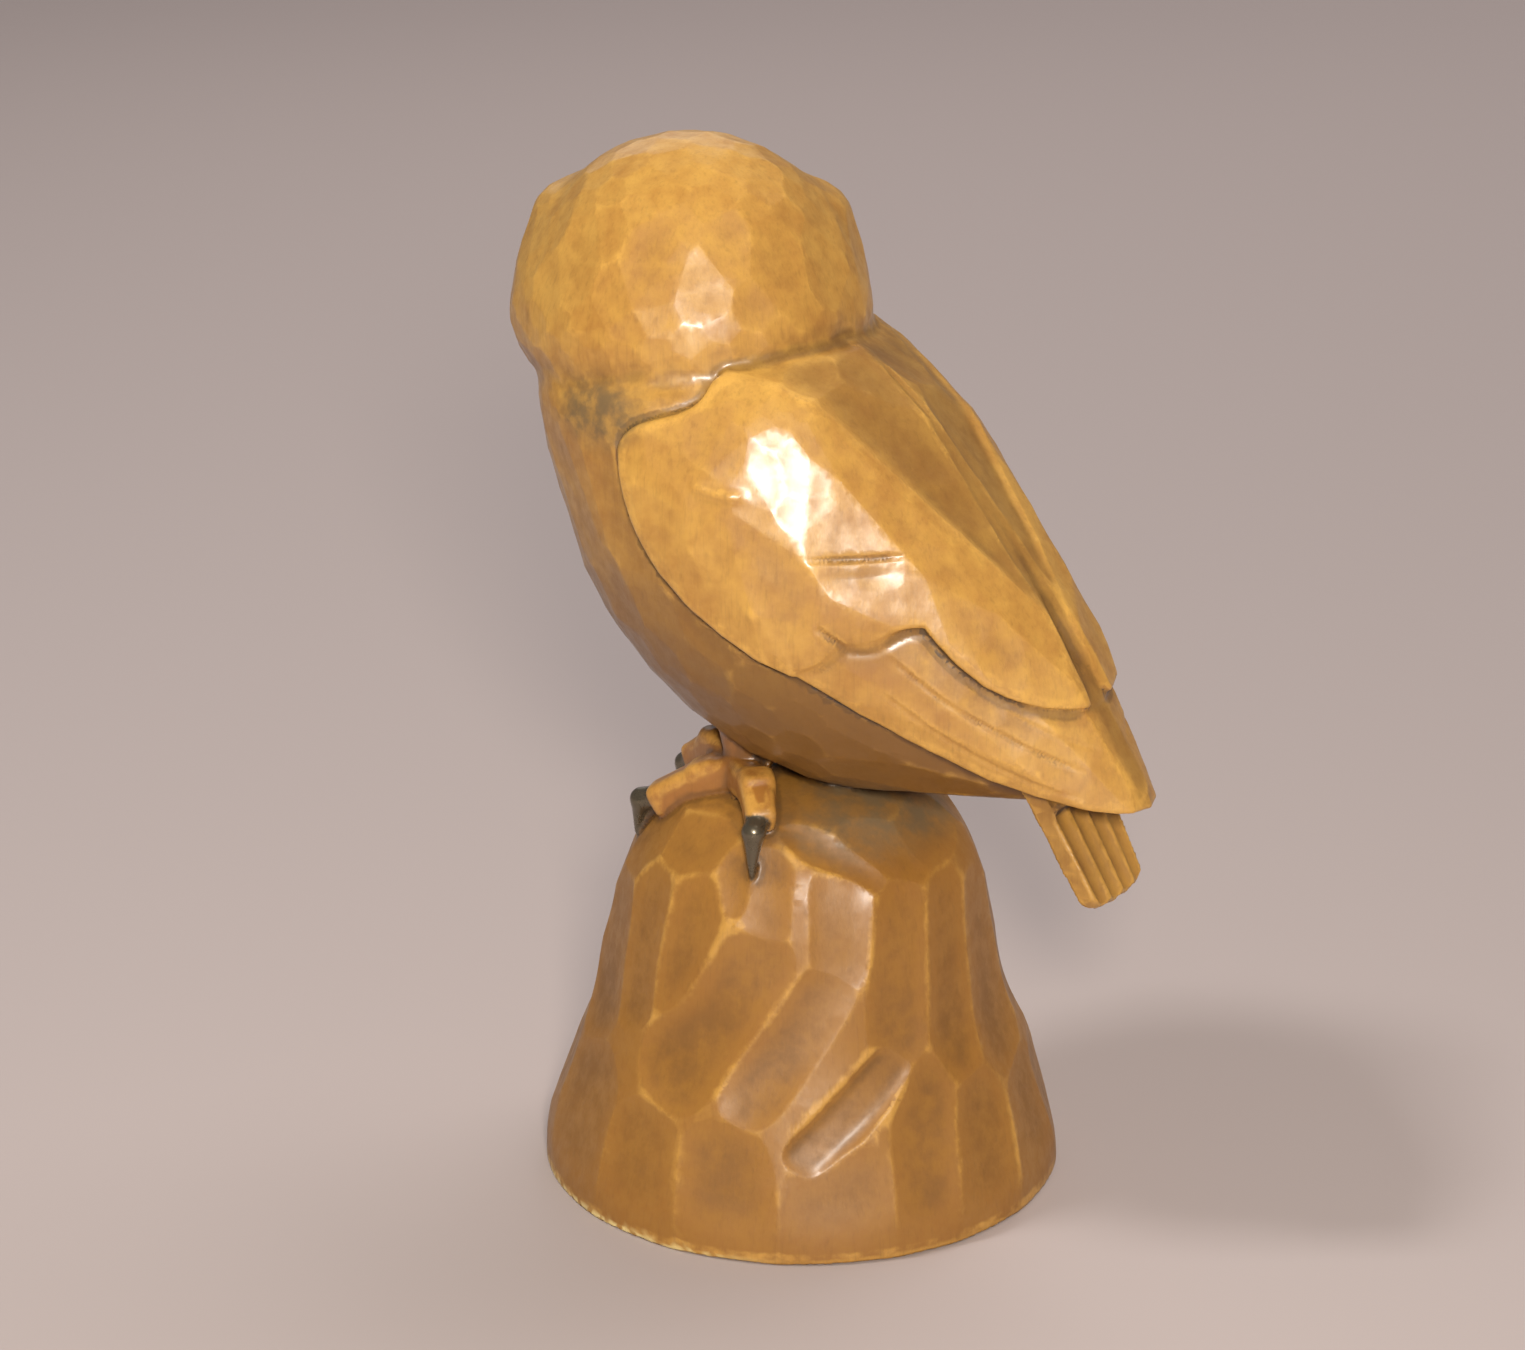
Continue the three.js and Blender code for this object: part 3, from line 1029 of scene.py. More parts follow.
def remeshed(mesh: bpy.types.Mesh, voxel: float) -> bpy.types.Mesh:
    """The mesh with its skin made again from small squares."""
    return with_modifier(mesh, "REMESH", mode="VOXEL", voxel_size=voxel, adaptivity=0.0)


class Knife:
    """Moves the points of a skin of small squares until they lie on a form."""

    LEAST_SLOPE = 0.05
    LONGEST_SLIDE = 3
    HOLD = 0.08
    LONGEST_PULL = 0.7
    AGREEMENT = (0.72, 0.86)
    SMOOTHING = 0.5

    def __init__(self, mesh: bpy.types.Mesh, form: Form, voxel: float) -> None:
        """Reads the skin's points and how they join.

        Args:
            mesh: The skin, in millimetres.
            form: The form to be carved.
            voxel: How wide the skin's squares are.
        """
        self.mesh = mesh
        self.form = form
        self.voxel = voxel
        self.points = read_values(mesh.vertices, "co", 3, np.float32).astype(float)
        self.corner = read_values(mesh.loops, "vertex_index", 1, np.int64)
        self.start = read_values(mesh.polygons, "loop_start", 1, np.int64)
        self.total = np.diff(np.append(self.start, len(mesh.loops)))
        self.edges = read_values(mesh.edges, "vertices", 2, np.int64)
        degree = np.bincount(self.edges.ravel(), minlength=len(self.points))
        self.degree = degree.astype(float)

    def settle(self, points: Array, rounds: int) -> tuple[Array, Array]:
        """Slides points along their outward directions onto the form.

        Args:
            points: The points to move.
            rounds: How many times each is moved.

        Returns:
            The moved points and the unit outward direction at each.
        """
        out = np.zeros_like(points)
        for _ in range(rounds):
            depth, out = self.form.read(points)
            size = np.maximum((out**2).sum(1), self.LEAST_SLOPE)
            longest = self.LONGEST_SLIDE * self.voxel
            step = np.clip(depth / size, -longest, longest)
            points = points - out * step[:, None]
        return points, out / np.linalg.norm(out, axis=1)[:, None]

    def sharpen(self) -> None:
        """Moves each point to where the flats of the squares around it meet.

        A point is held where those flats don't say. Steep steps, which the squares are too wide
        for, are smoothed over instead.
        """
        middle = np.add.reduceat(self.points[self.corner], self.start) / self.total[:, None]
        middle, out = self.settle(middle, 2)
        owner = np.repeat(np.arange(len(self.start)), self.total)
        normal, place = out[owner], middle[owner]
        gap = ((place - self.points[self.corner]) * normal).sum(1)
        count = len(self.points)
        pull = np.column_stack([self.gathered(way * gap) for way in normal.T])
        mean = np.column_stack([self.gathered(way) for way in normal.T])
        agreed = np.linalg.norm(mean, axis=1) / np.bincount(self.corner, minlength=count)
        square = np.empty((count, 3, 3))
        for i in range(3):
            for j in range(i, 3):
                square[:, i, j] = self.gathered(normal[:, i] * normal[:, j])
                square[:, j, i] = square[:, i, j]
        square += np.eye(3) * self.HOLD
        move = np.linalg.solve(square, pull[:, :, None])[:, :, 0]
        length = np.linalg.norm(move, axis=1)
        longest = self.LONGEST_PULL * self.voxel
        move *= np.minimum(1, longest / np.maximum(length, 1e-9))[:, None]
        firm = ramp(agreed, *self.AGREEMENT)[:, None]
        smooth = (self.around(self.points) - self.points) * self.SMOOTHING
        self.points = self.points + move * firm + smooth * (1 - firm)

    def gathered(self, values: Array) -> Array:
        """The sum at each point of the values at the corners of the squares around it."""
        return np.bincount(self.corner, values, len(self.points))

    def around(self, values: Array) -> Array:
        """The mean of each point's neighbours, for one column or several."""
        first, second = self.edges.T
        count = len(self.points)
        sums = []
        for column in values.reshape(count, -1).T:
            there = np.bincount(first, column[second], count)
            sums.append(there + np.bincount(second, column[first], count))
        return (np.column_stack(sums) / self.degree[:, None]).reshape(values.shape)

    def relax(self, share: float) -> None:
        """Moves each point a share of the way to the middle of its neighbours."""
        self.points = self.points + (self.around(self.points) - self.points) * share

    def normals(self) -> Array:
        """The unit outward direction at each point of the skin as it stands."""
        self.write()
        return read_values(self.mesh.vertex_normals, "vector", 3, np.float32).astype(float)

    def write(self) -> None:
        """Puts the points back in the mesh."""
        self.mesh.vertices.foreach_set("co", self.points.astype(np.float32).ravel())
        self.mesh.update()


# The carving's own parts


@dataclass
class Trunk:
    """The owl's body, rump and neck."""

    body: Egg = Egg((0, -1.5, 148), (43.5, 63, 43.5), 41)
    rump: Egg = Egg((0, 55, 109), (12, 12, 8), 40)
    neck: Egg = Egg((0, -21.5, 180), (43.5, 38.5, 22.5))
    facets: int = 400
    seed: int = 11
    box: Box = ((-60, -80, 85), (60, 80, 215))

    def form(self) -> Form:
        """The faceted body, with the neck drawn up from it."""
        low = Facets([self.body, self.rump], self.facets, self.seed)
        high = Facets([self.body, self.neck], self.facets, self.seed)
        return Within(Join([low, high]), *self.box)

    def block_out(self, blank: Blank) -> None:
        """Adds the body's lumps to the blank."""
        blank.hull([self.body, self.rump])
        blank.hull([self.body, self.neck])


@dataclass(frozen=True)
class Stroke:
    """A line cut by hand in both wings, from a few places that it passes through."""

    places: Sequence[SidePoint]
    steps: int
    width: float
    depth: float
    fade: float
    power: float = 1.5

    def line(self) -> SideLine:
        """The line as a mark."""
        route = smooth_curve(self.places, self.steps)
        return SideLine(route, self.width, self.depth, self.fade, power=self.power)


@dataclass
class Wings:
    """The folded wings: flight feathers under coverts, and the lines between them.

    The lines along the edges run beside parts of the front and lower edges, given as the numbers
    of the first or last of their points.
    """

    trunk: Trunk
    flight_proud: float = 2.6
    covert_proud: float = 3.6
    covert_tip: float = 2.0
    neck_sink: float = 2.2
    inner_groove: BackGroove = BackGroove(along=(-156.0, -80.0), fade=12.0)
    rounding: float = 1.2
    layer_fillet: float = 0.6
    seeds: tuple[int, int] = (23, 29)
    flat_cut: float = 1.2
    back_flats: Sequence[SidePoint] = ((18, -28), (13, -12), (11.5, 8), (11.5, 27), (12, 46))
    tip: Egg = Egg((0, 75.5, 110.8), (8.5, 23.5, 5.4), 50)
    shoulder: Egg = Egg((23.2, -6.1, 164.3), (21.1, 39.1, 23.8), 34)
    crest: Egg = Egg((15.9, 1.0, 169.8), (24.4, 24.4, 24.4))
    crest_flat: Point = (0.785, 0.519, 0.338)
    crest_cut: float = 0.6
    facets: int = 480
    front: Sequence[SidePoint] = (
        (24, 193.5), (14, 194.3), (7, 194.7), (3.2, 194.6), (-0.4, 193.6), (-2, 191.4),
        (-2.8, 188.6), (-5.4, 186.2), (-10.8, 184.2), (-16, 182), (-18.8, 178), (-18, 171),
        (-15.5, 164), (-10.6, 154.8), (-1.6, 146.2), (7.4, 139.8), (15.9, 135), (23.2, 132.2),
    )
    flight_edge: Sequence[SidePoint] = (
        (23.2, 132.2), (31, 126.6), (43.5, 118), (60, 108.8), (77, 103.4), (89.5, 102),
    )
    flight_end: Sequence[SidePoint] = ((90.5, 104), (85, 117))
    scallops: Sequence[Sequence[SidePoint]] = (
        ((22.4, 132.9), (28.2, 134.9), (32.6, 139.5)),
        ((32.6, 139.5), (37.5, 139.4), (42.5, 142.6), (45.8, 142.9)),
        ((45.8, 142.9), (52, 135.5), (60.5, 128.5), (69, 124.6), (77, 124.2), (84, 126.5)),
    )
    top: float = 215.0
    reach: float = 110.0
    box: Box = ((-65, -45, 92), (65, 110, 212))
    trims: Sequence[tuple[Point, Point]] = (
        ((0, 31, 125.5), (0, -0.53, -0.85)),
        ((0, 78, 101), (0, -0.1, -1)),
    )
    edge_from: int = 26
    edge_to: int = 21
    hood_line: tuple[int, int] = (16, 31)
    scallop_shift: SidePoint = (0.25, -0.7)
    strokes: Sequence[Stroke] = (
        Stroke(((32.6, 139.6), (30.4, 141.8), (27.4, 144.6)), 6, 0.9, 0.8, 2),
        Stroke(((22, 158.6), (27.6, 158.1), (37, 158.2), (45, 159)), 12, 1.0, 0.55, 9, 1),
        Stroke(((25, 154.6), (34, 154.2), (43, 155.8)), 12, 5.0, 0.4, 9, 2),
        Stroke(((-1, 172.7), (6, 171.1), (13, 170.3)), 8, 2.2, -0.7, 4),
        Stroke(((40, 138), (52, 127), (66, 117.5), (77, 111.5)), 12, 0.7, 0.4, 6),
        Stroke(((37, 132), (52, 119), (66, 110.5), (78, 105.8)), 12, 0.7, 0.3, 6),
        Stroke(((52, 134), (60, 126.5), (70, 120), (80, 115)), 12, 0.7, 0.25, 6),
    )

    def front_curve(self) -> Array:
        """The wing's front edge as a smooth line."""
        return smooth_curve(self.front, 52)

    def covert_curve(self) -> Array:
        """The scalloped lower edge of the coverts."""
        return np.vstack([smooth_curve(scallop, 12)[1:] for scallop in self.scallops])

    def flight_curve(self) -> Array:
        """The flight feathers' lower edge as a smooth line."""
        return smooth_curve(self.flight_edge, 24)[1:]

    def flats(self) -> Array:
        """The directions of the long flats on both sides of the groove down the back."""
        _, down, up = self.trunk.body.axes()
        rows = []
        for tilt, pitch in self.back_flats:
            lean, turn = math.radians(pitch), math.radians(tilt)
            middle = up * math.cos(lean) + down * math.sin(lean)
            for side in Side:
                sideways = np.array([side.value * math.sin(turn), 0, 0])
                rows.append(middle * math.cos(turn) + sideways)
        return np.array(rows)

    def layer(self, proud: float, tip: float, lower: Array, seed: int) -> Form:
        """One layer of both wings, cut to its outline as seen from the side.

        Args:
            proud: How far it stands out of the body.
            tip: How far it stands out of the wing's tip.
            lower: Its lower edge, from the front to the tail.
            seed: The seed of its facets.

        Returns:
            The layer's form.
        """
        neck = self.trunk.neck.grown(proud - self.neck_sink)
        swells = [egg.grown(proud) for egg in (*self.shoulder.pair(), self.crest)]
        eggs = [self.trunk.body.grown(proud), self.tip.grown(tip), neck, *swells]
        facets = Facets(eggs, self.facets, seed).add_flats(self.flats(), eggs, self.flat_cut)
        facets.add_flats(np.array([self.crest_flat]), eggs, self.crest_cut)
        start, end = self.front[0], lower[-1]
        above = [(self.reach, end[1]), (self.reach, self.top), (start[0], self.top)]
        plate = SidePlate(np.vstack([self.front_curve(), lower, above]))
        return Common([facets, plate], self.rounding)

    def form(self) -> Form:
        """Both layers together."""
        flight_lower = np.vstack([self.flight_curve(), self.flight_end])
        flight = self.layer(self.flight_proud, 0.0, flight_lower, self.seeds[0])
        flight = Marked(flight, [self.inner_groove])
        lower = self.covert_curve()
        coverts = self.layer(self.covert_proud, self.covert_tip, lower, self.seeds[1])
        thinned = SideLine(lower, width=5.0, depth=0.6, fade=0.5)
        coverts = Marked(coverts, [thinned, BackBand(), BackGroove()])
        return Within(Join([flight, coverts], self.layer_fillet), *self.box)

    def marks(self) -> list[Mark]:
        """The lines along the edges and between the feathers."""
        front = self.front_curve()
        edge = np.vstack([front[self.edge_from :], self.flight_curve()[: self.edge_to]])
        hood = front[slice(*self.hood_line)]
        scallops = self.covert_curve()[:-2] + np.array(self.scallop_shift)
        return [
            SideLine(beside(edge, 0.6), width=1.1, depth=0.9, fade=9, power=1),
            SideLine(beside(hood, 0.5), width=1.2, depth=0.35, fade=8),
            SideLine(scallops, width=1.0, depth=0.35, fade=8, hollow=1.0),
            *(stroke.line() for stroke in self.strokes),
        ]

    def block_out(self, blank: Blank) -> None:
        """Adds the wings' lumps to the blank, trimmed below the flight feathers."""
        eggs = [self.trunk.body.grown(self.covert_proud), self.tip.grown(self.covert_tip)]
        blank.hull(eggs, cuts=self.trims)


@dataclass
class Head:
    """The head, turned over the bird's right shoulder, in a frame of its own that faces -Y."""

    at: Point = (0, -29, 203)
    turn: float = -58.0
    cheeks: Egg = Egg((0, 0, -6.5), (39.4, 34, 26))
    crown: Egg = Egg((0, 3, 5), (32, 31, 27.5))
    nape: Egg = Egg((0, 7, -7), (36, 34, 27))
    brow: Egg = Egg((24, -7, 11), (11.5, 16, 9.5))
    brow_step: float = 2.5
    facets: int = 260
    mask_facets: int = 260
    seed: int = 31
    disc_turn: float = 29.0
    disc_height: float = -2.0
    disc_ball: float = 52.0
    disc_dish: float = 5.0
    eye_radius: float = 6.5
    eye_proud: float = 2.4
    beak: Sequence[Point] = ((0, -31, 4), (0, -35.5, -4), (0, -33.5, -12))
    beak_radii: Sequence[float] = (2.5, 3.6, 1.0)
    mask_fillet: float = 2.0
    disc_rounding: float = 0.8
    beak_fillet: float = 1.0
    face_fillet: float = 0.3
    box: Box = ((-60, -85, 160), (60, 30, 250))

    def disc(self) -> tuple[Array, Array]:
        """The middle of the left disc on the skin, and the way out of it."""
        turn = math.radians(self.disc_turn)
        across, along, _ = self.cheeks.radii
        skin = np.array([across * math.sin(turn), -along * math.cos(turn), self.disc_height])
        out = np.array([math.sin(turn) / across, -math.cos(turn) / along, 0])
        return skin, out / np.linalg.norm(out)

    def ball(self, stand: float, radius: float) -> Limb:
        """A ball on the left disc's axis, its middle standing off the skin."""
        skin, out = self.disc()
        middle = skin + out * stand
        return Limb(tuple(middle), tuple(middle + out * 1e-3), (radius, radius))

    def eye(self) -> Limb:
        """The left eye's ball."""
        return self.ball(self.eye_proud - self.eye_radius - self.disc_dish, self.eye_radius)

    def beak_limbs(self) -> list[Limb]:
        """The hooked beak's limbs."""
        return chain(self.beak, self.beak_radii)

    def dome_eggs(self) -> list[Egg]:
        """The masses of the head itself."""
        return [self.cheeks, self.crown, self.nape]

    def mask_eggs(self) -> list[Egg]:
        """The masses of the face, with both brows."""
        return [self.cheeks, self.crown.grown(-self.brow_step), *self.brow.pair()]

    def form(self) -> Form:
        """The head with its face, turned and in its place."""
        dome = Facets(self.dome_eggs(), self.facets, self.seed)
        mask = Facets(self.mask_eggs(), self.mask_facets, self.seed)
        dish = self.ball(self.disc_ball - self.disc_dish, self.disc_ball)
        whole = Join([dome, mask], self.mask_fillet)
        carved = Less(whole, [BothSides(dish)], self.disc_rounding)
        beak = Join(self.beak_limbs(), self.beak_fillet)
        faced = Join([carved, BothSides(self.eye()), beak], self.face_fillet)
        return Within(Turned(faced, self.turn, self.at), *self.box)

    def block_out(self, blank: Blank) -> None:
        """Adds the head's lumps to the blank."""
        frame = Matrix.Translation(self.at) @ Matrix.Rotation(math.radians(self.turn), 4, "Z")
        head = Blank()
        head.hull(self.dome_eggs())
        head.hull(self.mask_eggs())
        for limb in self.beak_limbs():
            head.limb(limb)
        bmesh.ops.transform(head.lumps, matrix=frame, verts=head.lumps.verts)
        blank.take(head.lumps)


@dataclass
class Tail:
    """A tapered slab of long feathers, fluted between them."""

    start: Point = (0, 61, 112)
    end: Point = (0, 79.2, 80.2)
    width: float = 21.5
    root: float = 26.5
    thick: float = 5.5
    feathers: int = 4
    flute: float = 1.4
    ragged: float = 0.9
    corner: float = 2.0
    box: Box = ((-30, 45, 70), (30, 100, 125))

    def frame(self) -> tuple[Array, float]:
        """The slab's axes as rows (across, out of its top, along) and its length."""
        along = np.array(self.end) - np.array(self.start)
        length = float(np.linalg.norm(along))
        along = along / length
        across = np.array([1.0, 0, 0])
        return np.array([across, np.cross(along, across), along]), length

    def form(self) -> Form:
        """The fluted slab."""
        return Within(TailForm(self), *self.box)

    def block_out(self, blank: Blank) -> None:
        """Adds the slab to the blank."""
        axes, length = self.frame()
        frame = Matrix(axes.T.tolist()).to_4x4()
        frame.translation = self.start
        blank.slab(frame, (self.width, self.thick, length), self.root)


@dataclass(frozen=True)
class TailForm(Form):
    """The tail's slab, read from its own sizes."""

    tail: Tail

    def read(self, points: Array) -> Reading:
        """Reads the outermost of the slab's faces, the two broad ones fluted."""
        tail = self.tail
        axes, length = tail.frame()
        across, up, along = ((points - np.array(tail.start)) @ axes.T).T
        share = np.clip(along / length, 0, 1)
        half = (tail.root + (tail.width - tail.root) * share) / 2
        phase = (across / half + 1) / 2 * tail.feathers
        wave = math.pi * (phase - np.floor(phase))
        thick = tail.thick / 2 - tail.flute * np.sin(wave)
        end = length - tail.ragged * (1 - np.sin(wave)) - tail.corner * (across / half) ** 4
        faces = np.column_stack([np.abs(up) - thick, np.abs(across) - half, along - end, -along])
        slopes = np.zeros((len(points), 4, 3))
        turn = math.pi * tail.feathers / (2 * half)
        slopes[:, 0, 1] = np.sign(up)
        slopes[:, 0, 0] = tail.flute * np.cos(wave) * turn
        slopes[:, 1, 0] = np.sign(across)
        slopes[:, 2, 2] = 1
        slopes[:, 3, 2] = -1
        best = faces.argmax(1)
        rows = np.arange(len(points))
        return faces[rows, best], slopes[rows, best] @ axes


@dataclass(frozen=True)
class Toe:
    """One toe: its joints, their radii, and the knuckle and tip of its claw."""

    joints: Sequence[Point]
    radii: Sequence[float]
    claw: Sequence[Point]


@dataclass
class Feet:
    """A feathered thigh and three toes on each side, each toe with a bent claw."""

    toes: Sequence[Toe] = (
        Toe(
            ((17, -5, 98), (19, -13, 95.5), (21.5, -22, 90)),
            (4.6, 4.2, 4.0),
            ((22.5, -28.5, 88), (21.5, -30.5, 79)),
        ),
        Toe(
            ((18, -4, 98), (24.5, 3, 98), (29.5, 7, 94.5)),
            (4.6, 3.9, 3.5),
            ((34.6, 8.6, 92), (35.4, 8.6, 82)),
        ),
        Toe(
            ((15, -6, 97), (9.5, -16, 99), (6.5, -23, 94.5)),
            (4.8, 4.3, 3.6),
            ((5, -28, 91), (4.5, -30, 84)),
        ),
    )
    power: float = 4.0
    claw_radii: tuple[float, float, float] = (2.8, 2.5, 0.5)
    thigh: Limb = Limb((14, -4, 110), (16, -4.5, 98), (9, 4.5))
    joint_fillet: float = 0.8
    claw_fillet: float = 0.3
    box: Box = ((-50, -50, 70), (50, 30, 120))

    def toe_limbs(self) -> list[Limb]:
        """The limbs of the left foot's toes."""
        return [limb for toe in self.toes for limb in chain(toe.joints, toe.radii, self.power)]

    def claw_limbs(self) -> list[Limb]:
        """The limbs of the left foot's claws."""
        routes = [(toe.joints[-1], *toe.claw) for toe in self.toes]
        return [limb for route in routes for limb in chain(route, self.claw_radii)]

    def claws(self) -> Form:
        """The left foot's claws together."""
        return Join(self.claw_limbs(), self.joint_fillet)

    def on_both(self, left: Form) -> Form:
        """A form of the left foot, on both feet."""
        return Within(BothSides(left), *self.box)

    def form(self) -> Form:
        """Both feet."""
        foot = Join([*self.toe_limbs(), self.thigh], self.joint_fillet)
        return self.on_both(Join([foot, self.claws()], self.claw_fillet))

    def block_out(self, blank: Blank) -> None:
        """Adds the feet's lumps to the blank."""
        for side in Side:
            for limb in [*self.toe_limbs(), *self.claw_limbs(), self.thigh]:
                blank.limb(limb, side)


@dataclass
class Stump:
    """The stump: a round bell of wood with long cuts of the gouge all over it."""

    profile: Sequence[SidePoint] = (
        (59.0, 0), (58.6, 8), (56.4, 17), (51.8, 30), (47.1, 44), (44.4, 58), (41.2, 72),
        (37.2, 81), (29.6, 89.8), (18, 95.4), (6, 97), (0, 97),
    )
    cuts: Sequence[Scoop] = (
        Scoop(6.6, 50.9, 34, 11.5, 26, 2.5, 5),
        Scoop(27.5, 47.5, 33, 8.0, 23, 2.0, 5),
        Scoop(43.5, 32, 47, 6.0, 18.5, 2.1, 7, 3.5),
        Scoop(42.5, 71.5, 4, 8.0, 14, 1.9, 4, 2.6),
        Scoop(19.5, 76.5, -8, 7.5, 13.5, 1.7),
        Scoop(30.5, 70.0, 1, 6.5, 15.0, 0.8),
        Scoop(45, 85.5, -58, 5.0, 14.0, 1.8),
        Scoop(8.5, 80.5, -18, 6.0, 9.5, 1.6),
        Scoop(-6.5, 65.5, 11, 9.0, 19, 1.9),
        Scoop(-24, 62, 0, 9.5, 21, 1.9),
        Scoop(-43, 55, -6, 12.0, 23, 2.0),
        Scoop(62, 61, 9, 9.0, 25, 1.9),
        Scoop(80, 57, 6, 9.5, 26, 2.0),
        Scoop(99, 52, 4, 12.0, 25, 2.1),
        Scoop(-33, 17, -8, 14.0, 22, 1.7),
        Scoop(-9, 12, -4, 12.5, 20, 1.8),
        Scoop(14, 11, -8, 12.5, 21, 1.9),
        Scoop(40, 9, 4, 14.0, 19, 1.8),
        Scoop(62, 20, 10, 9.5, 25, 1.9),
        Scoop(79, 15, 5, 10.5, 22, 1.8),
        Scoop(101, 14, 12, 12.0, 21, 1.8),
        Scoop(-14, 85, 80, 8.0, 12, 1.6),
        Scoop(66, 85, -62, 8.0, 13, 1.6),
        Scoop(87, 86, 70, 8.0, 14, 1.6),
        Scoop(-40, 81, 40, 9.0, 13, 1.6),
    )
    hidden: SidePoint = (118.0, 304.0)
    rows: Sequence[SidePoint] = ((11, 18), (34, 20), (57, 21), (77, 16), (89, 10))
    width: float = 9.5
    seed: int = 5
    fewest: int = 3
    spacing: float = 1.75
    turn_jitter: float = 0.4
    row_shift: float = 0.35
    row_start: float = -0.18
    height_jitter: float = 7.0
    heading_jitter: float = 70.0
    lengths: SidePoint = (0.85, 0.3)
    widths: SidePoint = (1.0, 0.35)
    depths: SidePoint = (1.6, 0.9)
    edge_rounding: float = 0.8
    box: Box = ((-80, -80, -10), (80, 80, 105))

    def curve(self) -> Array:
        """The half profile as a smooth line."""
        return smooth_curve(self.profile, 66)

    def hidden_cuts(self) -> list[Scoop]:
        """Cuts in the same manner on the side that the photograph doesn't show."""
        draw = random_stream(self.seed)
        start, end = self.hidden
        cuts = []
        for row, (height, half_length) in enumerate(self.rows):
            radius = float(np.interp(height, *self.curve()[:, ::-1].T))
            around = math.radians(end - start) * radius
            count = max(self.fewest, round(around / (self.spacing * self.width)))
            for i in range(count):
                place = i + 0.5 + (draw() - 0.5) * self.turn_jitter
                place = place + (row % 2) * self.row_shift + self.row_start
                turn = start + (end - start) * place / count
                up = height + (draw() - 0.5) * self.height_jitter
                heading = (draw() - 0.5) * self.heading_jitter
                long = half_length * (self.lengths[0] + self.lengths[1] * draw())
                wide = self.width * (self.widths[0] + self.widths[1] * draw())
                deep = self.depths[0] + self.depths[1] * draw()
                cuts.append(Scoop(turn, up, heading, wide, long, deep))
        return cuts

    def form(self) -> Form:
        """The bell with all its cuts, standing on a flat underside."""
        bell = GougedLathe(self.curve(), [*self.cuts, *self.hidden_cuts()])
        foot = Cuts(np.array([(0, 0, -1.0)]), np.array([0.0]))
        return Within(Common([bell, foot], self.edge_rounding), *self.box)

    def block_out(self, blank: Blank) -> None:
        """Adds the stump's lumps to the blank."""
        for lower, upper in zip(self.profile, self.profile[1:]):
            if upper[1] > lower[1]:
                blank.cone(lower, upper)


@dataclass(frozen=True)
class Spot:
    """A spot of wear, of dust or of painted shade: its middle and how far it reaches along X, Y and
    Z.
    """

    at: Point
    size: Point


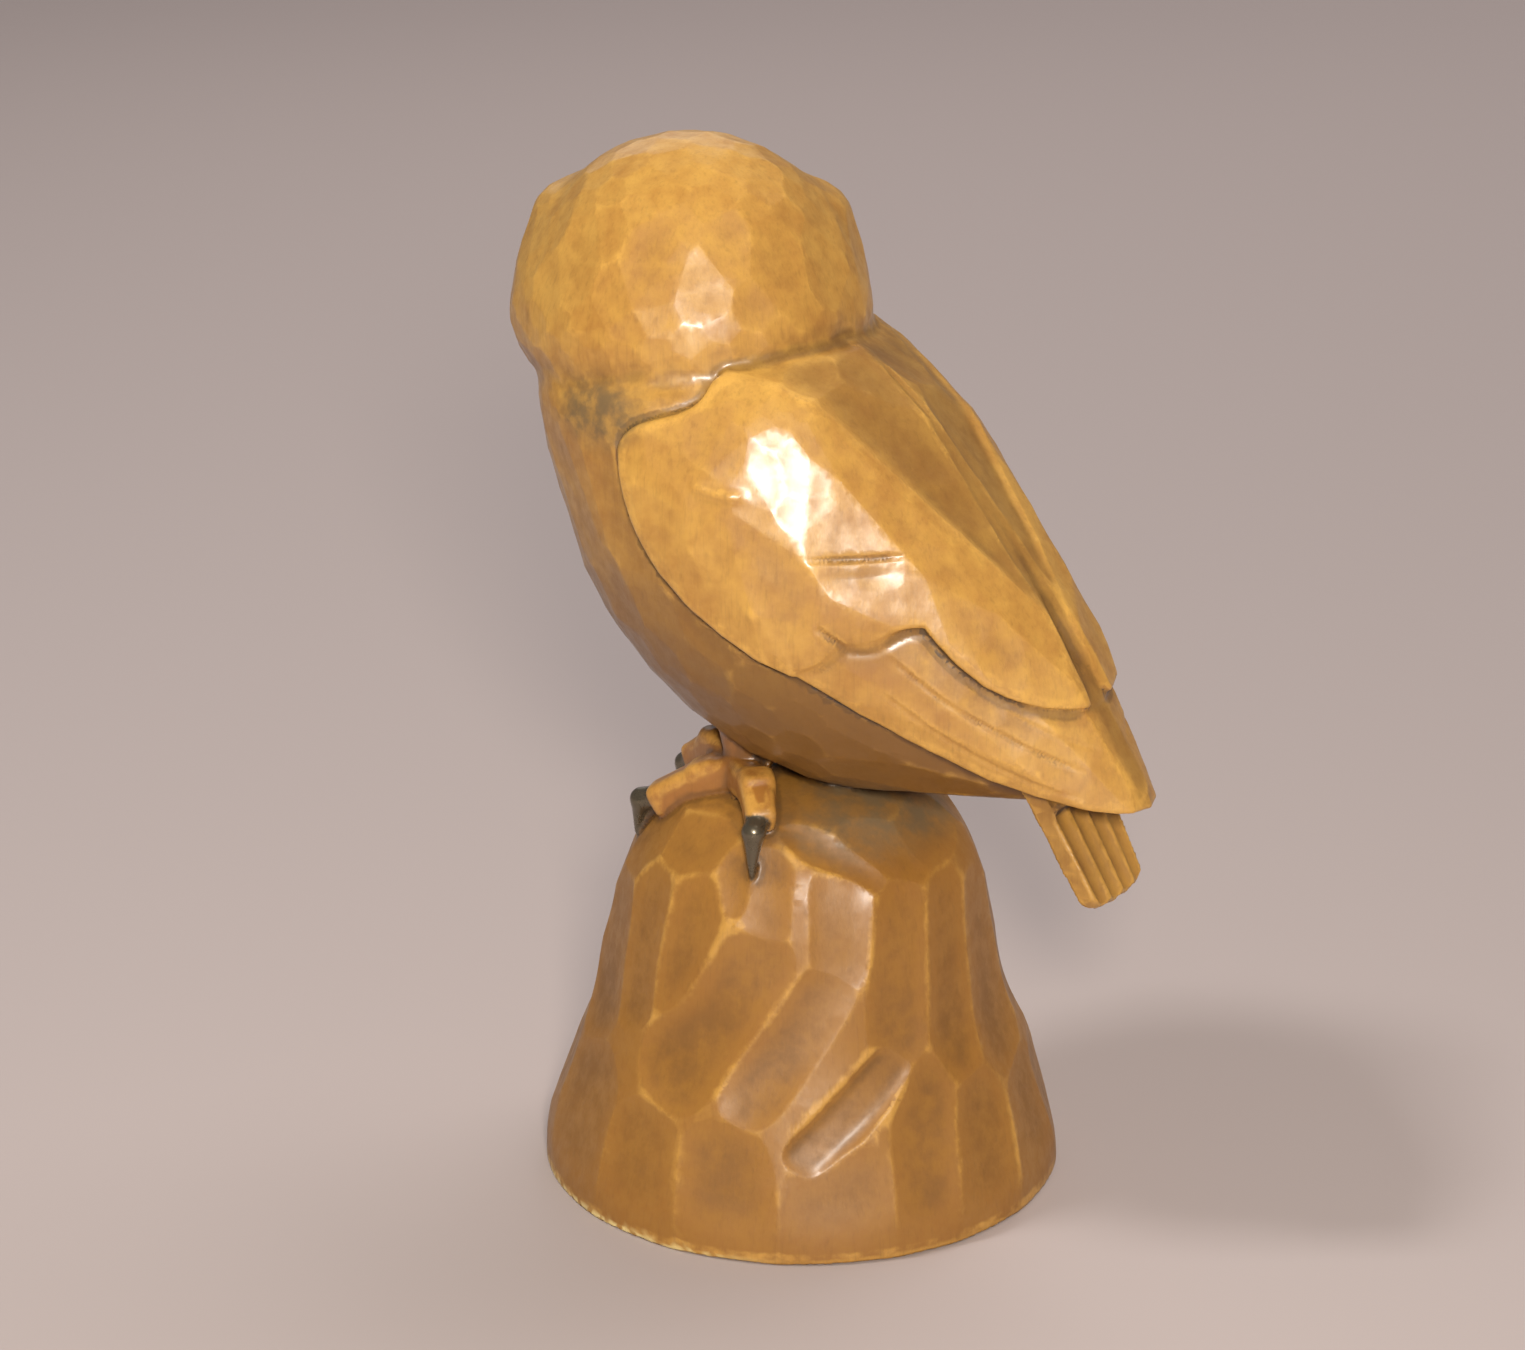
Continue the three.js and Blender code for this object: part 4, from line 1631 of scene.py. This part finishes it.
@dataclass(frozen=True)
class Wear:
    """Where the skin is worn, dirty, tinted or bare, where shade is painted on it, and where one
    stain gives way to another.

    Pairs are where a mask starts and ends, in millimetres unless they are slopes of the skin.
    """

    near: float = 1.6
    wide: float = 3.6
    tone_ways: Sequence[Point] = ((17.0, 11.0, 5.0), (-7.0, 13.0, 19.0))
    grain_ways: Sequence[Point] = ((0.9, 1.3, 0.4), (-1.1, 0.5, 1.7))
    chip_height: float = 1.4
    chip_ragged: float = 2.2
    chip_edge: SidePoint = (0.0, 0.6)
    chip_ridge: SidePoint = (0.02, 0.06)
    chip_side: SidePoint = (-30.0, 5.0)
    nicks: Sequence[Spot] = (
        Spot((19.1, 27, 186.8), (1.2, 1.2, 1.0)),
        Spot((16.5, 35, 180.5), (1.4, 2.6, 2.2)),
    )
    nick_ragged: float = 0.35
    nick_rim: SidePoint = (0.7, 1.1)
    # Grey patches: dust on the top of the stump, and painted shade on the left of the neck.
    dust_and_shade_spots: Sequence[Spot] = (
        Spot((0, 28, 93), (60, 24, 11)),
        Spot((43, -26, 183), (13, 15, 9)),
    )
    dust_and_shade_ragged: float = 0.12
    dust_and_shade_rim: SidePoint = (0.35, 1.1)
    off_wing: SidePoint = (0.2, 0.9)
    off_head: SidePoint = (0.5, 7.0)
    # Heights, as negatives, over which the painted shade on the breast deepens going down.
    breast_shade_fall: SidePoint = (-172.0, -112.0)
    breast_least: float = 0.15
    tail_skin: float = 0.5
    tail_breast: float = 0.4
    tail_damping: float = 0.7
    tail_broad: float = 0.004
    skin: float = 1.0
    foot_lead: float = 0.3
    claw_rim: SidePoint = (0.15, 0.5)
    stump_top: SidePoint = (96.0, 104.0)
    band_rim: SidePoint = (0.75, 1.0)
    band_wing: SidePoint = (0.3, 1.0)
    band_head: SidePoint = (1.0, 6.0)

    @staticmethod
    def weave(values: Array, ways: Sequence[Point]) -> Array:
        """Two crossing waves multiplied together."""
        first, second = (np.sin(values @ np.array(way)) for way in ways)
        return first * second

    @staticmethod
    def spotted(points: Array, spots: Sequence[Spot], ragged: Array, rim: SidePoint) -> Array:
        """How much of a spot there is at each point.

        Args:
            points: The skin's points.
            spots: The spots.
            ragged: How far in or out their rim is there.
            rim: Where a spot starts to fade and where it ends, as shares of its size.

        Returns:
            Numbers from 0 to 1.
        """
        found = np.zeros(len(points))
        for spot in spots:
            gap = np.linalg.norm((points - np.array(spot.at)) / np.array(spot.size), axis=1)
            found = np.maximum(found, 1 - ramp(gap + ragged, *rim))
        return found

    @staticmethod
    def evened(knife: Knife, values: Array, reach: float) -> Array:
        """Values at the skin's points, evened out over a reach in millimetres."""
        for _ in range(round((reach / knife.voxel) ** 2)):
            values = knife.around(values)
        return values

    def masks(self, knife: Knife, off: dict[str, Array]) -> dict[str, Array]:
        """The masks that the finish uses.

        Args:
            knife: The knife with the carving's skin.
            off: How far the skin is off each of the owl's parts.

        Returns:
            A value at each of the skin's points for each mask.
        """
        out = knife.normals()
        points = knife.points
        proud = (out * (points - knife.around(points))).sum(1) / knife.voxel
        ridge = knife.around(proud)
        hollow = self.evened(knife, proud / knife.voxel, self.near)
        broad = self.evened(knife, hollow, self.wide)
        tone = self.weave(knife.around(out), self.tone_ways)
        grain = self.weave(points, self.grain_ways)
        chips = self.chip_height + self.chip_ragged * grain - points[:, 2]
        chips = ramp(chips, *self.chip_edge) * ramp(ridge, *self.chip_ridge)
        chips = chips * ramp(-points[:, 1], *self.chip_side)
        nicks = self.spotted(points, self.nicks, self.nick_ragged * grain, self.nick_rim)
        bird = np.minimum(np.minimum(off["wing"], off["head"]), off["trunk"])
        stump, foot, on_tail = off["stump"], off["foot"], off["tail"] < self.tail_skin
        # The breast and belly take a darker tint: partly a stain, partly painted shade that deepens
        # downwards below the wings.
        breast = ramp(off["wing"], *self.off_wing) * ramp(off["head"], *self.off_head)
        breast = breast * (bird < np.minimum(stump, foot)) * (off["tail"] > self.tail_skin)
        low = ramp(-points[:, 2], *self.breast_shade_fall)
        breast = breast * (self.breast_least + (1 - self.breast_least) * low)
        # Marks read from the hollows, painted shade among them, are weakened on the tail.
        tail_damped = 1 - self.tail_damping * on_tail
        # The channel beside the back groove is tinted umber: partly a stain, partly painted shade
        # where it turns from the light.
        band_stain_and_shade = 1 - ramp(BackBand().share(points)[0], *self.band_rim)
        band_stain_and_shade = band_stain_and_shade * (1 - ramp(off["wing"], *self.band_wing))
        return {
            "ridge": ridge,
            "hollow": hollow * tail_damped,
            "breast": np.maximum(breast, self.tail_breast * on_tail),
            "stump": 1.0 * (stump < np.minimum(bird, foot)) * (stump < self.skin),
            "foot": 1.0 * (foot < np.minimum(bird, stump) + self.foot_lead) * (foot < self.skin),
            "claw": 1 - ramp(off["claw"], *self.claw_rim),
            "grey": self.spotted(points, self.dust_and_shade_spots, self.dust_and_shade_ragged * grain, self.dust_and_shade_rim),
            "bare": np.maximum(chips, nicks),
            "broad": broad * tail_damped + self.tail_broad * (1 - tail_damped),
            "tone": tone * ramp(points[:, 2], *self.stump_top),
            "band_stain_and_shade": band_stain_and_shade * ramp(off["head"], *self.band_head),
        }


@dataclass
class Owl:
    """The whole carving, one piece of wood."""

    name: str = "carved_owl_finish"
    voxel: float = 0.6
    quick_voxel: float = 1.1
    first_cut: float = 1.7
    triangles: int = 190_000
    hood_fillet: float = 2.6
    perch_fillet: float = 2.2
    join_fillet: float = 0.4
    cut_width: float = 8.5
    cut_depth: float = 0.42
    seed: int = 3
    wear: Wear = Wear()
    trunk: Trunk = field(default_factory=Trunk)
    head: Head = field(default_factory=Head)
    tail: Tail = field(default_factory=Tail)
    feet: Feet = field(default_factory=Feet)
    stump: Stump = field(default_factory=Stump)

    def form(self) -> Form:
        """The bird and its stump together."""
        wings = Wings(self.trunk)
        trunk = Marked(self.trunk.form(), [wings.inner_groove])
        hooded = Join([Join([trunk, wings.form()]), self.head.form()], self.hood_fillet)
        cuts = KnifeCuts(self.cut_width, self.cut_depth, self.seed)
        bird = Marked(hooded, [cuts, *wings.marks()])
        perched = Join([bird, self.stump.form()], self.perch_fillet)
        return Join([perched, self.tail.form(), self.feet.form()], self.join_fillet)

    def sculpt(self, rough: Blank, form: Form, voxel: float) -> bpy.types.Mesh:
        """Carves a form out of a blank.

        Args:
            rough: The blank's lumps.
            form: What is carved.
            voxel: How wide the skin's squares are.

        Returns:
            The carving's skin, with notes on its wear.
        """
        coarse = voxel * self.first_cut
        mesh = rough.fused(coarse)
        knife = Knife(mesh, form, coarse)
        knife.points, _ = knife.settle(knife.points, 4)
        knife.relax(0.3)
        knife.points, _ = knife.settle(knife.points, 2)
        knife.write()
        mesh = remeshed(mesh, voxel)
        knife = Knife(mesh, form, voxel)
        for _ in range(3):
            knife.points, _ = knife.settle(knife.points, 1)
            knife.relax(0.5)
        knife.points, _ = knife.settle(knife.points, 1)
        for _ in range(2):
            knife.sharpen()
        knife.relax(0.25)
        self.note(knife)
        knife.write()
        return mesh

    def carve(self) -> bpy.types.Object:
        """Carves the owl.

        Returns:
            The finished piece, in metres.
        """
        rough = Blank()
        for part in (self.trunk, Wings(self.trunk), self.head, self.tail, self.feet, self.stump):
            part.block_out(rough)
        mesh = self.sculpt(rough, self.form(), self.voxel)
        if triangles(mesh) > self.triangles:
            mesh = with_modifier(mesh, "DECIMATE", ratio=self.triangles / triangles(mesh))
        mesh.transform(Matrix.Scale(MILLIMETRE, 4))
        mesh.name = self.name
        mesh.shade_smooth()
        return placed(self.name, mesh)

    def note(self, knife: Knife) -> None:
        """Notes on the skin where it is worn, where it is dirty, where shade is painted on it, and
        which part each point is of.
        """
        parts = {
            "tail": self.tail.form(),
            "wing": Wings(self.trunk).form(),
            "head": self.head.form(),
            "stump": self.stump.form(),
            "claw": self.feet.on_both(self.feet.claws()),
            "foot": self.feet.form(),
            "trunk": self.trunk.form(),
        }
        off = {name: form.read(knife.points)[0] for name, form in parts.items()}
        for name, value in self.wear.masks(knife, off).items():
            layer = knife.mesh.attributes.new(name, "FLOAT", "POINT")
            layer.data.foreach_set("value", value.astype(np.float32))


# The finish


@dataclass(frozen=True)
class Ease:
    """A smooth passage: the values where it starts and ends, and what they become."""

    start: float
    end: float
    to: SidePoint = (0.0, 1.0)


class Sheet:
    """A node tree that is written step by step."""

    def __init__(self, tree: bpy.types.NodeTree) -> None:
        """Takes the tree to write in."""
        self.tree = tree

    def feed(self, node: bpy.types.Node, inputs: dict[str | int, object]) -> None:
        """Links a node's sockets, or sets them where the value is a constant."""
        for name, value in inputs.items():
            if isinstance(value, bpy.types.NodeSocket):
                self.tree.links.new(value, node.inputs[name])
            else:
                node.inputs[name].default_value = value

    def add(self, kind: str, inputs: dict[str | int, object], **settings: object) -> bpy.types.Node:
        """Adds a node.

        Args:
            kind: The node's type, without its prefix.
            inputs: What goes into its sockets: another node's socket, or a constant.
            **settings: The node's own settings.

        Returns:
            The node.
        """
        prefix = "" if kind.startswith("NodeGroup") else "ShaderNode"
        node = self.tree.nodes.new(prefix + kind)
        for name, value in settings.items():
            setattr(node, name, value)
        self.feed(node, inputs)
        return node

    def sum(self, kind: str, a: object, b: object) -> bpy.types.NodeSocket:
        """Does a sum, such as "ADD", with two values or sockets."""
        return self.add("Math", {0: a, 1: b}, operation=kind).outputs[0]

    def times(self, a: object, b: object) -> bpy.types.NodeSocket:
        """Multiplies two values or sockets."""
        return self.sum("MULTIPLY", a, b)

    def ease(self, value: object, ease: Ease) -> bpy.types.NodeSocket:
        """Eases a value from one range to another."""
        low, high = ease.to
        inputs = {"Value": value, "From Min": ease.start, "From Max": ease.end}
        inputs |= {"To Min": low, "To Max": high}
        return self.add("MapRange", inputs, interpolation_type="SMOOTHSTEP").outputs[0]

    def blend(self, share: object, a: object, b: object) -> bpy.types.NodeSocket:
        """Mixes two colours or sockets, with a share of the second."""
        return self.add("Mix", {0: share, 6: a, 7: b}, data_type="RGBA").outputs[2]

    def noise(
        self, vector: object, scale: float, detail: float, rough: float = 0.5
    ) -> bpy.types.NodeSocket:
        """Adds a noise and gives its value."""
        inputs = {"Vector": vector, "Scale": scale, "Detail": detail, "Roughness": rough}
        return self.add("TexNoise", inputs).outputs[0]


def linear(red: int, green: int, blue: int) -> Colour:
    """A colour as it is seen on a screen, in the values that light adds up in."""
    levels = [(level / 255 + 0.055) ** 2.4 / 1.055**2.4 for level in (red, green, blue)]
    return (*levels, 1.0)


@dataclass(frozen=True)
class WoodGrain:
    """The wood itself: blotches of stain, long fibres and small flecks, as a node group."""

    blotch: float = 48.0
    mottle: float = 250.0
    fibre: float = 1500.0
    stretch: float = 0.05
    fleck: float = 700.0
    fleck_stretch: float = 0.35

    def group(self) -> bpy.types.NodeTree:
        """Makes the group.

        Returns:
            A group from a place to four values round a half: blotch, mottle, fibre and fleck.
        """
        tree = bpy.data.node_groups.new("wood_grain", "ShaderNodeTree")
        tree.interface.new_socket("Place", in_out="INPUT", socket_type="NodeSocketVector")
        names = ("Blotch", "Mottle", "Fibre", "Fleck")
        for name in names:
            tree.interface.new_socket(name, in_out="OUTPUT", socket_type="NodeSocketFloat")
        sheet = Sheet(tree)
        place = sheet.add("NodeGroupInput", {}).outputs[0]
        along, half = (
            sheet.add("Mapping", {"Vector": place, "Scale": (1, 1, stretch)}).outputs[0]
            for stretch in (self.stretch, self.fleck_stretch)
        )
        values = (
            sheet.noise(place, self.blotch, 3),
            sheet.noise(place, self.mottle, 4, 0.6),
            sheet.noise(along, self.fibre, 3, 0.6),
            sheet.noise(half, self.fleck, 2),
        )
        sheet.add("NodeGroupOutput", dict(zip(names, values)))
        return tree


@dataclass(frozen=True)
class StainedWood:
    """Honey-brown stain under a satin wax, worn light on the ridges, and dark in the hollows and
    creases, where it is dirty and painted with shade.
    """

    name: str = "stained_wood"
    honey: Colour = linear(196, 148, 68)
    amber: Colour = linear(162, 111, 46)
    # Darker stain for the breast and belly, deepened there as painted shade.
    breast: Colour = linear(117, 78, 25)
    stump: Colour = linear(138, 90, 30)
    umber: Colour = linear(106, 71, 28)
    worn: Colour = linear(218, 166, 78)
    # Near black, for dirty hollows and creases and for painted shade in them.
    dirt_and_shade: Colour = linear(44, 28, 14)
    foot: Colour = linear(140, 84, 28)
    # Grey for dust, and for painted shade on the neck.
    grey: Colour = linear(106, 86, 56)
    bare: Colour = linear(232, 208, 140)
    claw: Colour = linear(104, 94, 76)
    roughness: float = 0.44
    specular: float = 0.6
    coat_roughness: float = 0.22
    coat: Ease = Ease(0, 1, (0.35, 0.12))
    grain: WoodGrain = WoodGrain()
    blotch_share: float = 0.5
    mottle_share: float = 0.5
    tone_share: float = 0.06
    amber_over: Ease = Ease(0.24, 0.80)
    # Painted shade in broad hollows, in umber, strongest on the stump.
    shade_broad: Ease = Ease(0.009, -0.006)
    shade_uneven: Ease = Ease(0.35, 0.62, (0.15, 1))
    shade_stump: Ease = Ease(0, 1, (0.25, 0.6))
    worn_ridge: Ease = Ease(0.012, 0.08)
    worn_mottle: Ease = Ease(0.3, 0.6)
    worn_share: float = 0.4
    bright_hollow: Ease = Ease(0.014, 0.04)
    bright_uneven: Ease = Ease(0.6, 0.4)
    bright_share: float = 0.5
    fibre_over: Ease = Ease(0.48, 0.75, (0, 0.18))
    fleck_over: Ease = Ease(0.54, 0.8, (0, 0.2))
    soft_dirt_and_shade: Ease = Ease(-0.006, -0.05)
    soft_share: float = 0.4
    fine_dirt_and_shade: Ease = Ease(-0.03, -0.2)
    fine_share: float = 0.85
    grey_mottle: Ease = Ease(0.3, 0.65, (0.35, 0.9))
    matt_range: SidePoint = (0.3, 0.7)
    matt_change: SidePoint = (-0.05, 0.09)
    grey_matt: float = 0.15
    claw_shine: float = 0.16
    stump_matt: float = 0.06
    claw_metal: float = 0.7
    fibre_height: float = 0.5
    mottle_height: float = 1.2
    bump_strength: float = 0.25
    bump_distance: float = 0.0002

    def parts(self) -> Sequence[tuple[str, float, Colour]]:
        """The parts with a tint of their own: mask, share and colour. The breast's tint and the
        back channel's are partly painted shade.
        """
        return (
            ("breast", 1.0, self.breast),
            ("stump", 0.8, self.stump),
            ("foot", 0.8, self.foot),
            ("band_stain_and_shade", 0.45, self.umber),
        )

    def colour(
        self, sheet: Sheet, grain: dict[str, object], note: dict[str, object]
    ) -> bpy.types.NodeSocket:
        """Lays the tints over one another, painted shade among them.

        Args:
            sheet: The material's tree.
            grain: The wood's values, by name.
            note: The masks noted on the skin, by name.

        Returns:
            The colour's socket.
        """
        mottle = grain["Mottle"]
        blotch = sheet.times(grain["Blotch"], self.blotch_share)
        uneven = sheet.sum("ADD", blotch, sheet.times(mottle, self.mottle_share))
        uneven = sheet.sum("ADD", uneven, sheet.times(note["tone"], self.tone_share))
        colour = sheet.blend(sheet.ease(uneven, self.amber_over), self.honey, self.amber)
        # The breast's tint and the back channel's are partly painted shade, not only stain.
        for name, share, stain in self.parts():
            colour = sheet.blend(sheet.times(note[name], share), colour, stain)
        # Painted shade: broad hollows turn umber, most on the stump, broken up by the wood's
        # unevenness.
        sunk_shade = sheet.ease(note["broad"], self.shade_broad)
        sunk_shade = sheet.times(sunk_shade, sheet.ease(uneven, self.shade_uneven))
        sunk_shade = sheet.times(sunk_shade, sheet.ease(note["stump"], self.shade_stump))
        colour = sheet.blend(sunk_shade, colour, self.umber)
        worn = sheet.ease(note["ridge"], self.worn_ridge)
        worn = sheet.times(worn, sheet.ease(mottle, self.worn_mottle))
        bright = sheet.ease(note["hollow"], self.bright_hollow)
        bright = sheet.times(bright, sheet.ease(uneven, self.bright_uneven))
        worn, bright = sheet.times(worn, self.worn_share), sheet.times(bright, self.bright_share)
        colour = sheet.blend(sheet.sum("MAXIMUM", worn, bright), colour, self.worn)
        colour = sheet.blend(sheet.ease(grain["Fibre"], self.fibre_over), colour, self.umber)
        colour = sheet.blend(sheet.ease(grain["Fleck"], self.fleck_over), colour, self.umber)
        # Painted shade and grime: hollows and creases go near black.
        soft = sheet.times(sheet.ease(note["hollow"], self.soft_dirt_and_shade), self.soft_share)
        fine = sheet.times(sheet.ease(note["ridge"], self.fine_dirt_and_shade), self.fine_share)
        colour = sheet.blend(sheet.sum("MAXIMUM", soft, fine), colour, self.dirt_and_shade)
        # Grey: dust on the stump's top, and painted shade on the left of the neck.
        greyed = sheet.times(note["grey"], sheet.ease(mottle, self.grey_mottle))
        colour = sheet.blend(greyed, colour, self.grey)
        colour = sheet.blend(note["bare"], colour, self.bare)
        return sheet.blend(note["claw"], colour, self.claw)

    def make(self) -> bpy.types.Material:
        """Makes the material."""
        material = bpy.data.materials.new(self.name)
        material.use_nodes = True
        sheet = Sheet(material.node_tree)
        place = sheet.add("TexCoord", {}).outputs["Object"]
        group = sheet.add("Group", {}, node_tree=self.grain.group())
        sheet.feed(group, {"Place": place})
        grain = {socket.name: socket for socket in group.outputs}
        masks = (
            "ridge", "hollow", "broad", "tone", "band_stain_and_shade", "breast", "stump", "foot", "claw", "grey",
            "bare",
        )
        note = {
            name: sheet.add("Attribute", {}, attribute_name=name).outputs["Fac"] for name in masks
        }
        smoother, duller = self.matt_change
        matt = Ease(*self.matt_range, (self.roughness + smoother, self.roughness + duller))
        rough = sheet.ease(grain["Mottle"], matt)
        rough = sheet.sum("ADD", rough, sheet.times(note["grey"], self.grey_matt))
        rough = sheet.sum("SUBTRACT", rough, sheet.times(note["claw"], self.claw_shine))
        rough = sheet.sum("ADD", rough, sheet.times(note["stump"], self.stump_matt))
        fibres = sheet.times(grain["Fibre"], self.fibre_height)
        height = sheet.sum("ADD", fibres, sheet.times(grain["Mottle"], self.mottle_height))
        relief = {"Strength": self.bump_strength, "Distance": self.bump_distance}
        bump = sheet.add("Bump", {"Height": height, **relief})
        finish = {
            "Base Color": self.colour(sheet, grain, note),
            "Roughness": rough,
            "Metallic": sheet.times(note["claw"], self.claw_metal),
            "Specular IOR Level": self.specular,
            "Coat Weight": sheet.ease(note["stump"], self.coat),
            "Coat Roughness": self.coat_roughness,
            "Normal": bump.outputs[0],
        }
        sheet.feed(material.node_tree.nodes["Principled BSDF"], finish)
        return material


# Camera, light and floor


@dataclass(frozen=True)
class PhotoCamera:
    """A camera where the photograph's stood."""

    azimuth: float = 122.0
    elevation: float = 20.0
    distance: float = 0.9
    aim: Point = (0.00482, -0.00772, 0.116)
    focal_pixels: float = 4050.0
    image_width: float = 1525.0
    sensor_width: float = 36.0

    def make(self) -> None:
        """Puts the camera in the scene."""
        a, e = math.radians(self.azimuth), math.radians(self.elevation)
        back = Vector((math.sin(a) * math.cos(e), -math.cos(a) * math.cos(e), math.sin(e)))
        data = bpy.data.cameras.new("photo_camera")
        data.sensor_width = self.sensor_width
        data.lens = self.focal_pixels / self.image_width * data.sensor_width
        camera = placed("photo_camera", data)
        camera.location = Vector(self.aim) + back * self.distance
        camera.rotation_euler = (-back).to_track_quat("-Z", "Y").to_euler()
        bpy.context.scene.camera = camera


@dataclass(frozen=True)
class Lamp:
    """A soft lamp that faces a place: where it is, in metres, its width and its power in watts.

    A lamp that isn't mirrored doesn't show in the gloss of things.
    """

    name: str
    at: Point
    aim: Point
    size: float
    power: float
    colour: Point
    mirrored: bool = True

    def make(self) -> None:
        """Puts the lamp in the scene."""
        data = bpy.data.lights.new(self.name, "AREA")
        data.size = self.size
        data.energy = self.power
        data.color = self.colour
        lamp = placed(self.name, data)
        lamp.location = self.at
        ahead = Vector(self.aim) - Vector(self.at)
        lamp.rotation_euler = ahead.to_track_quat("-Z", "Y").to_euler()
        lamp.visible_glossy = self.mirrored


@dataclass(frozen=True)
class Studio:
    """A plain pale floor, four soft lamps and the light of the room."""

    floor_half: float = 12.0
    floor_colour: Colour = (0.40, 0.33, 0.30, 1)
    floor_roughness: float = 0.7
    room_colour: Colour = (0.55, 0.52, 0.54, 1)
    room_strength: float = 0.25
    lamps: Sequence[Lamp] = (
        Lamp("window", (0.455, -0.56, 1.3), (0, 0, 0.1), 0.2, 10.5, (0.93, 0.96, 1), False),
        Lamp("flash", (0.76, 0.53, 0.54), (0, 0, 0.13), 0.14, 11.0, (1, 0.95, 0.87)),
        Lamp("backdrop", (-2.6, 0.4, 3.2), (-1.4, -0.3, 0), 3.0, 105, (0.97, 0.96, 1), False),
        Lamp("fill", (-0.9, -0.7, 0.8), (0, 0, 0.1), 0.8, 1.5, (1, 0.97, 0.95)),
    )

    def make(self) -> None:
        """Lays the floor and sets the lights."""
        surface = bmesh.new()
        bmesh.ops.create_grid(surface, x_segments=1, y_segments=1, size=self.floor_half)
        mesh = bpy.data.meshes.new("floor")
        surface.to_mesh(mesh)
        surface.free()
        floor = placed("floor", mesh)
        material = bpy.data.materials.new("pale_floor")
        material.use_nodes = True
        shader = material.node_tree.nodes["Principled BSDF"]
        shader.inputs["Base Color"].default_value = self.floor_colour
        shader.inputs["Roughness"].default_value = self.floor_roughness
        mesh.materials.append(material)
        for lamp in self.lamps:
            lamp.make()
        world = bpy.data.worlds.new("room")
        world.use_nodes = True
        background = world.node_tree.nodes["Background"]
        background.inputs["Color"].default_value = self.room_colour
        background.inputs["Strength"].default_value = self.room_strength
        bpy.context.scene.world = world
        bpy.context.scene.view_settings.view_transform = "Standard"


def main() -> None:
    """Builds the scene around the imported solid."""
    logging.basicConfig(level=logging.INFO, format="%(message)s")
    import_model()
    PhotoCamera().make()
    Studio().make()
    owl = Owl().carve()
    owl.data.materials.append(StainedWood().make())
    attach(owl, "root")
    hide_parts("carved_owl")
    LOG.info("%s: %d triangles", owl.name, triangles(owl.data))


if __name__ == "__main__":
    main()
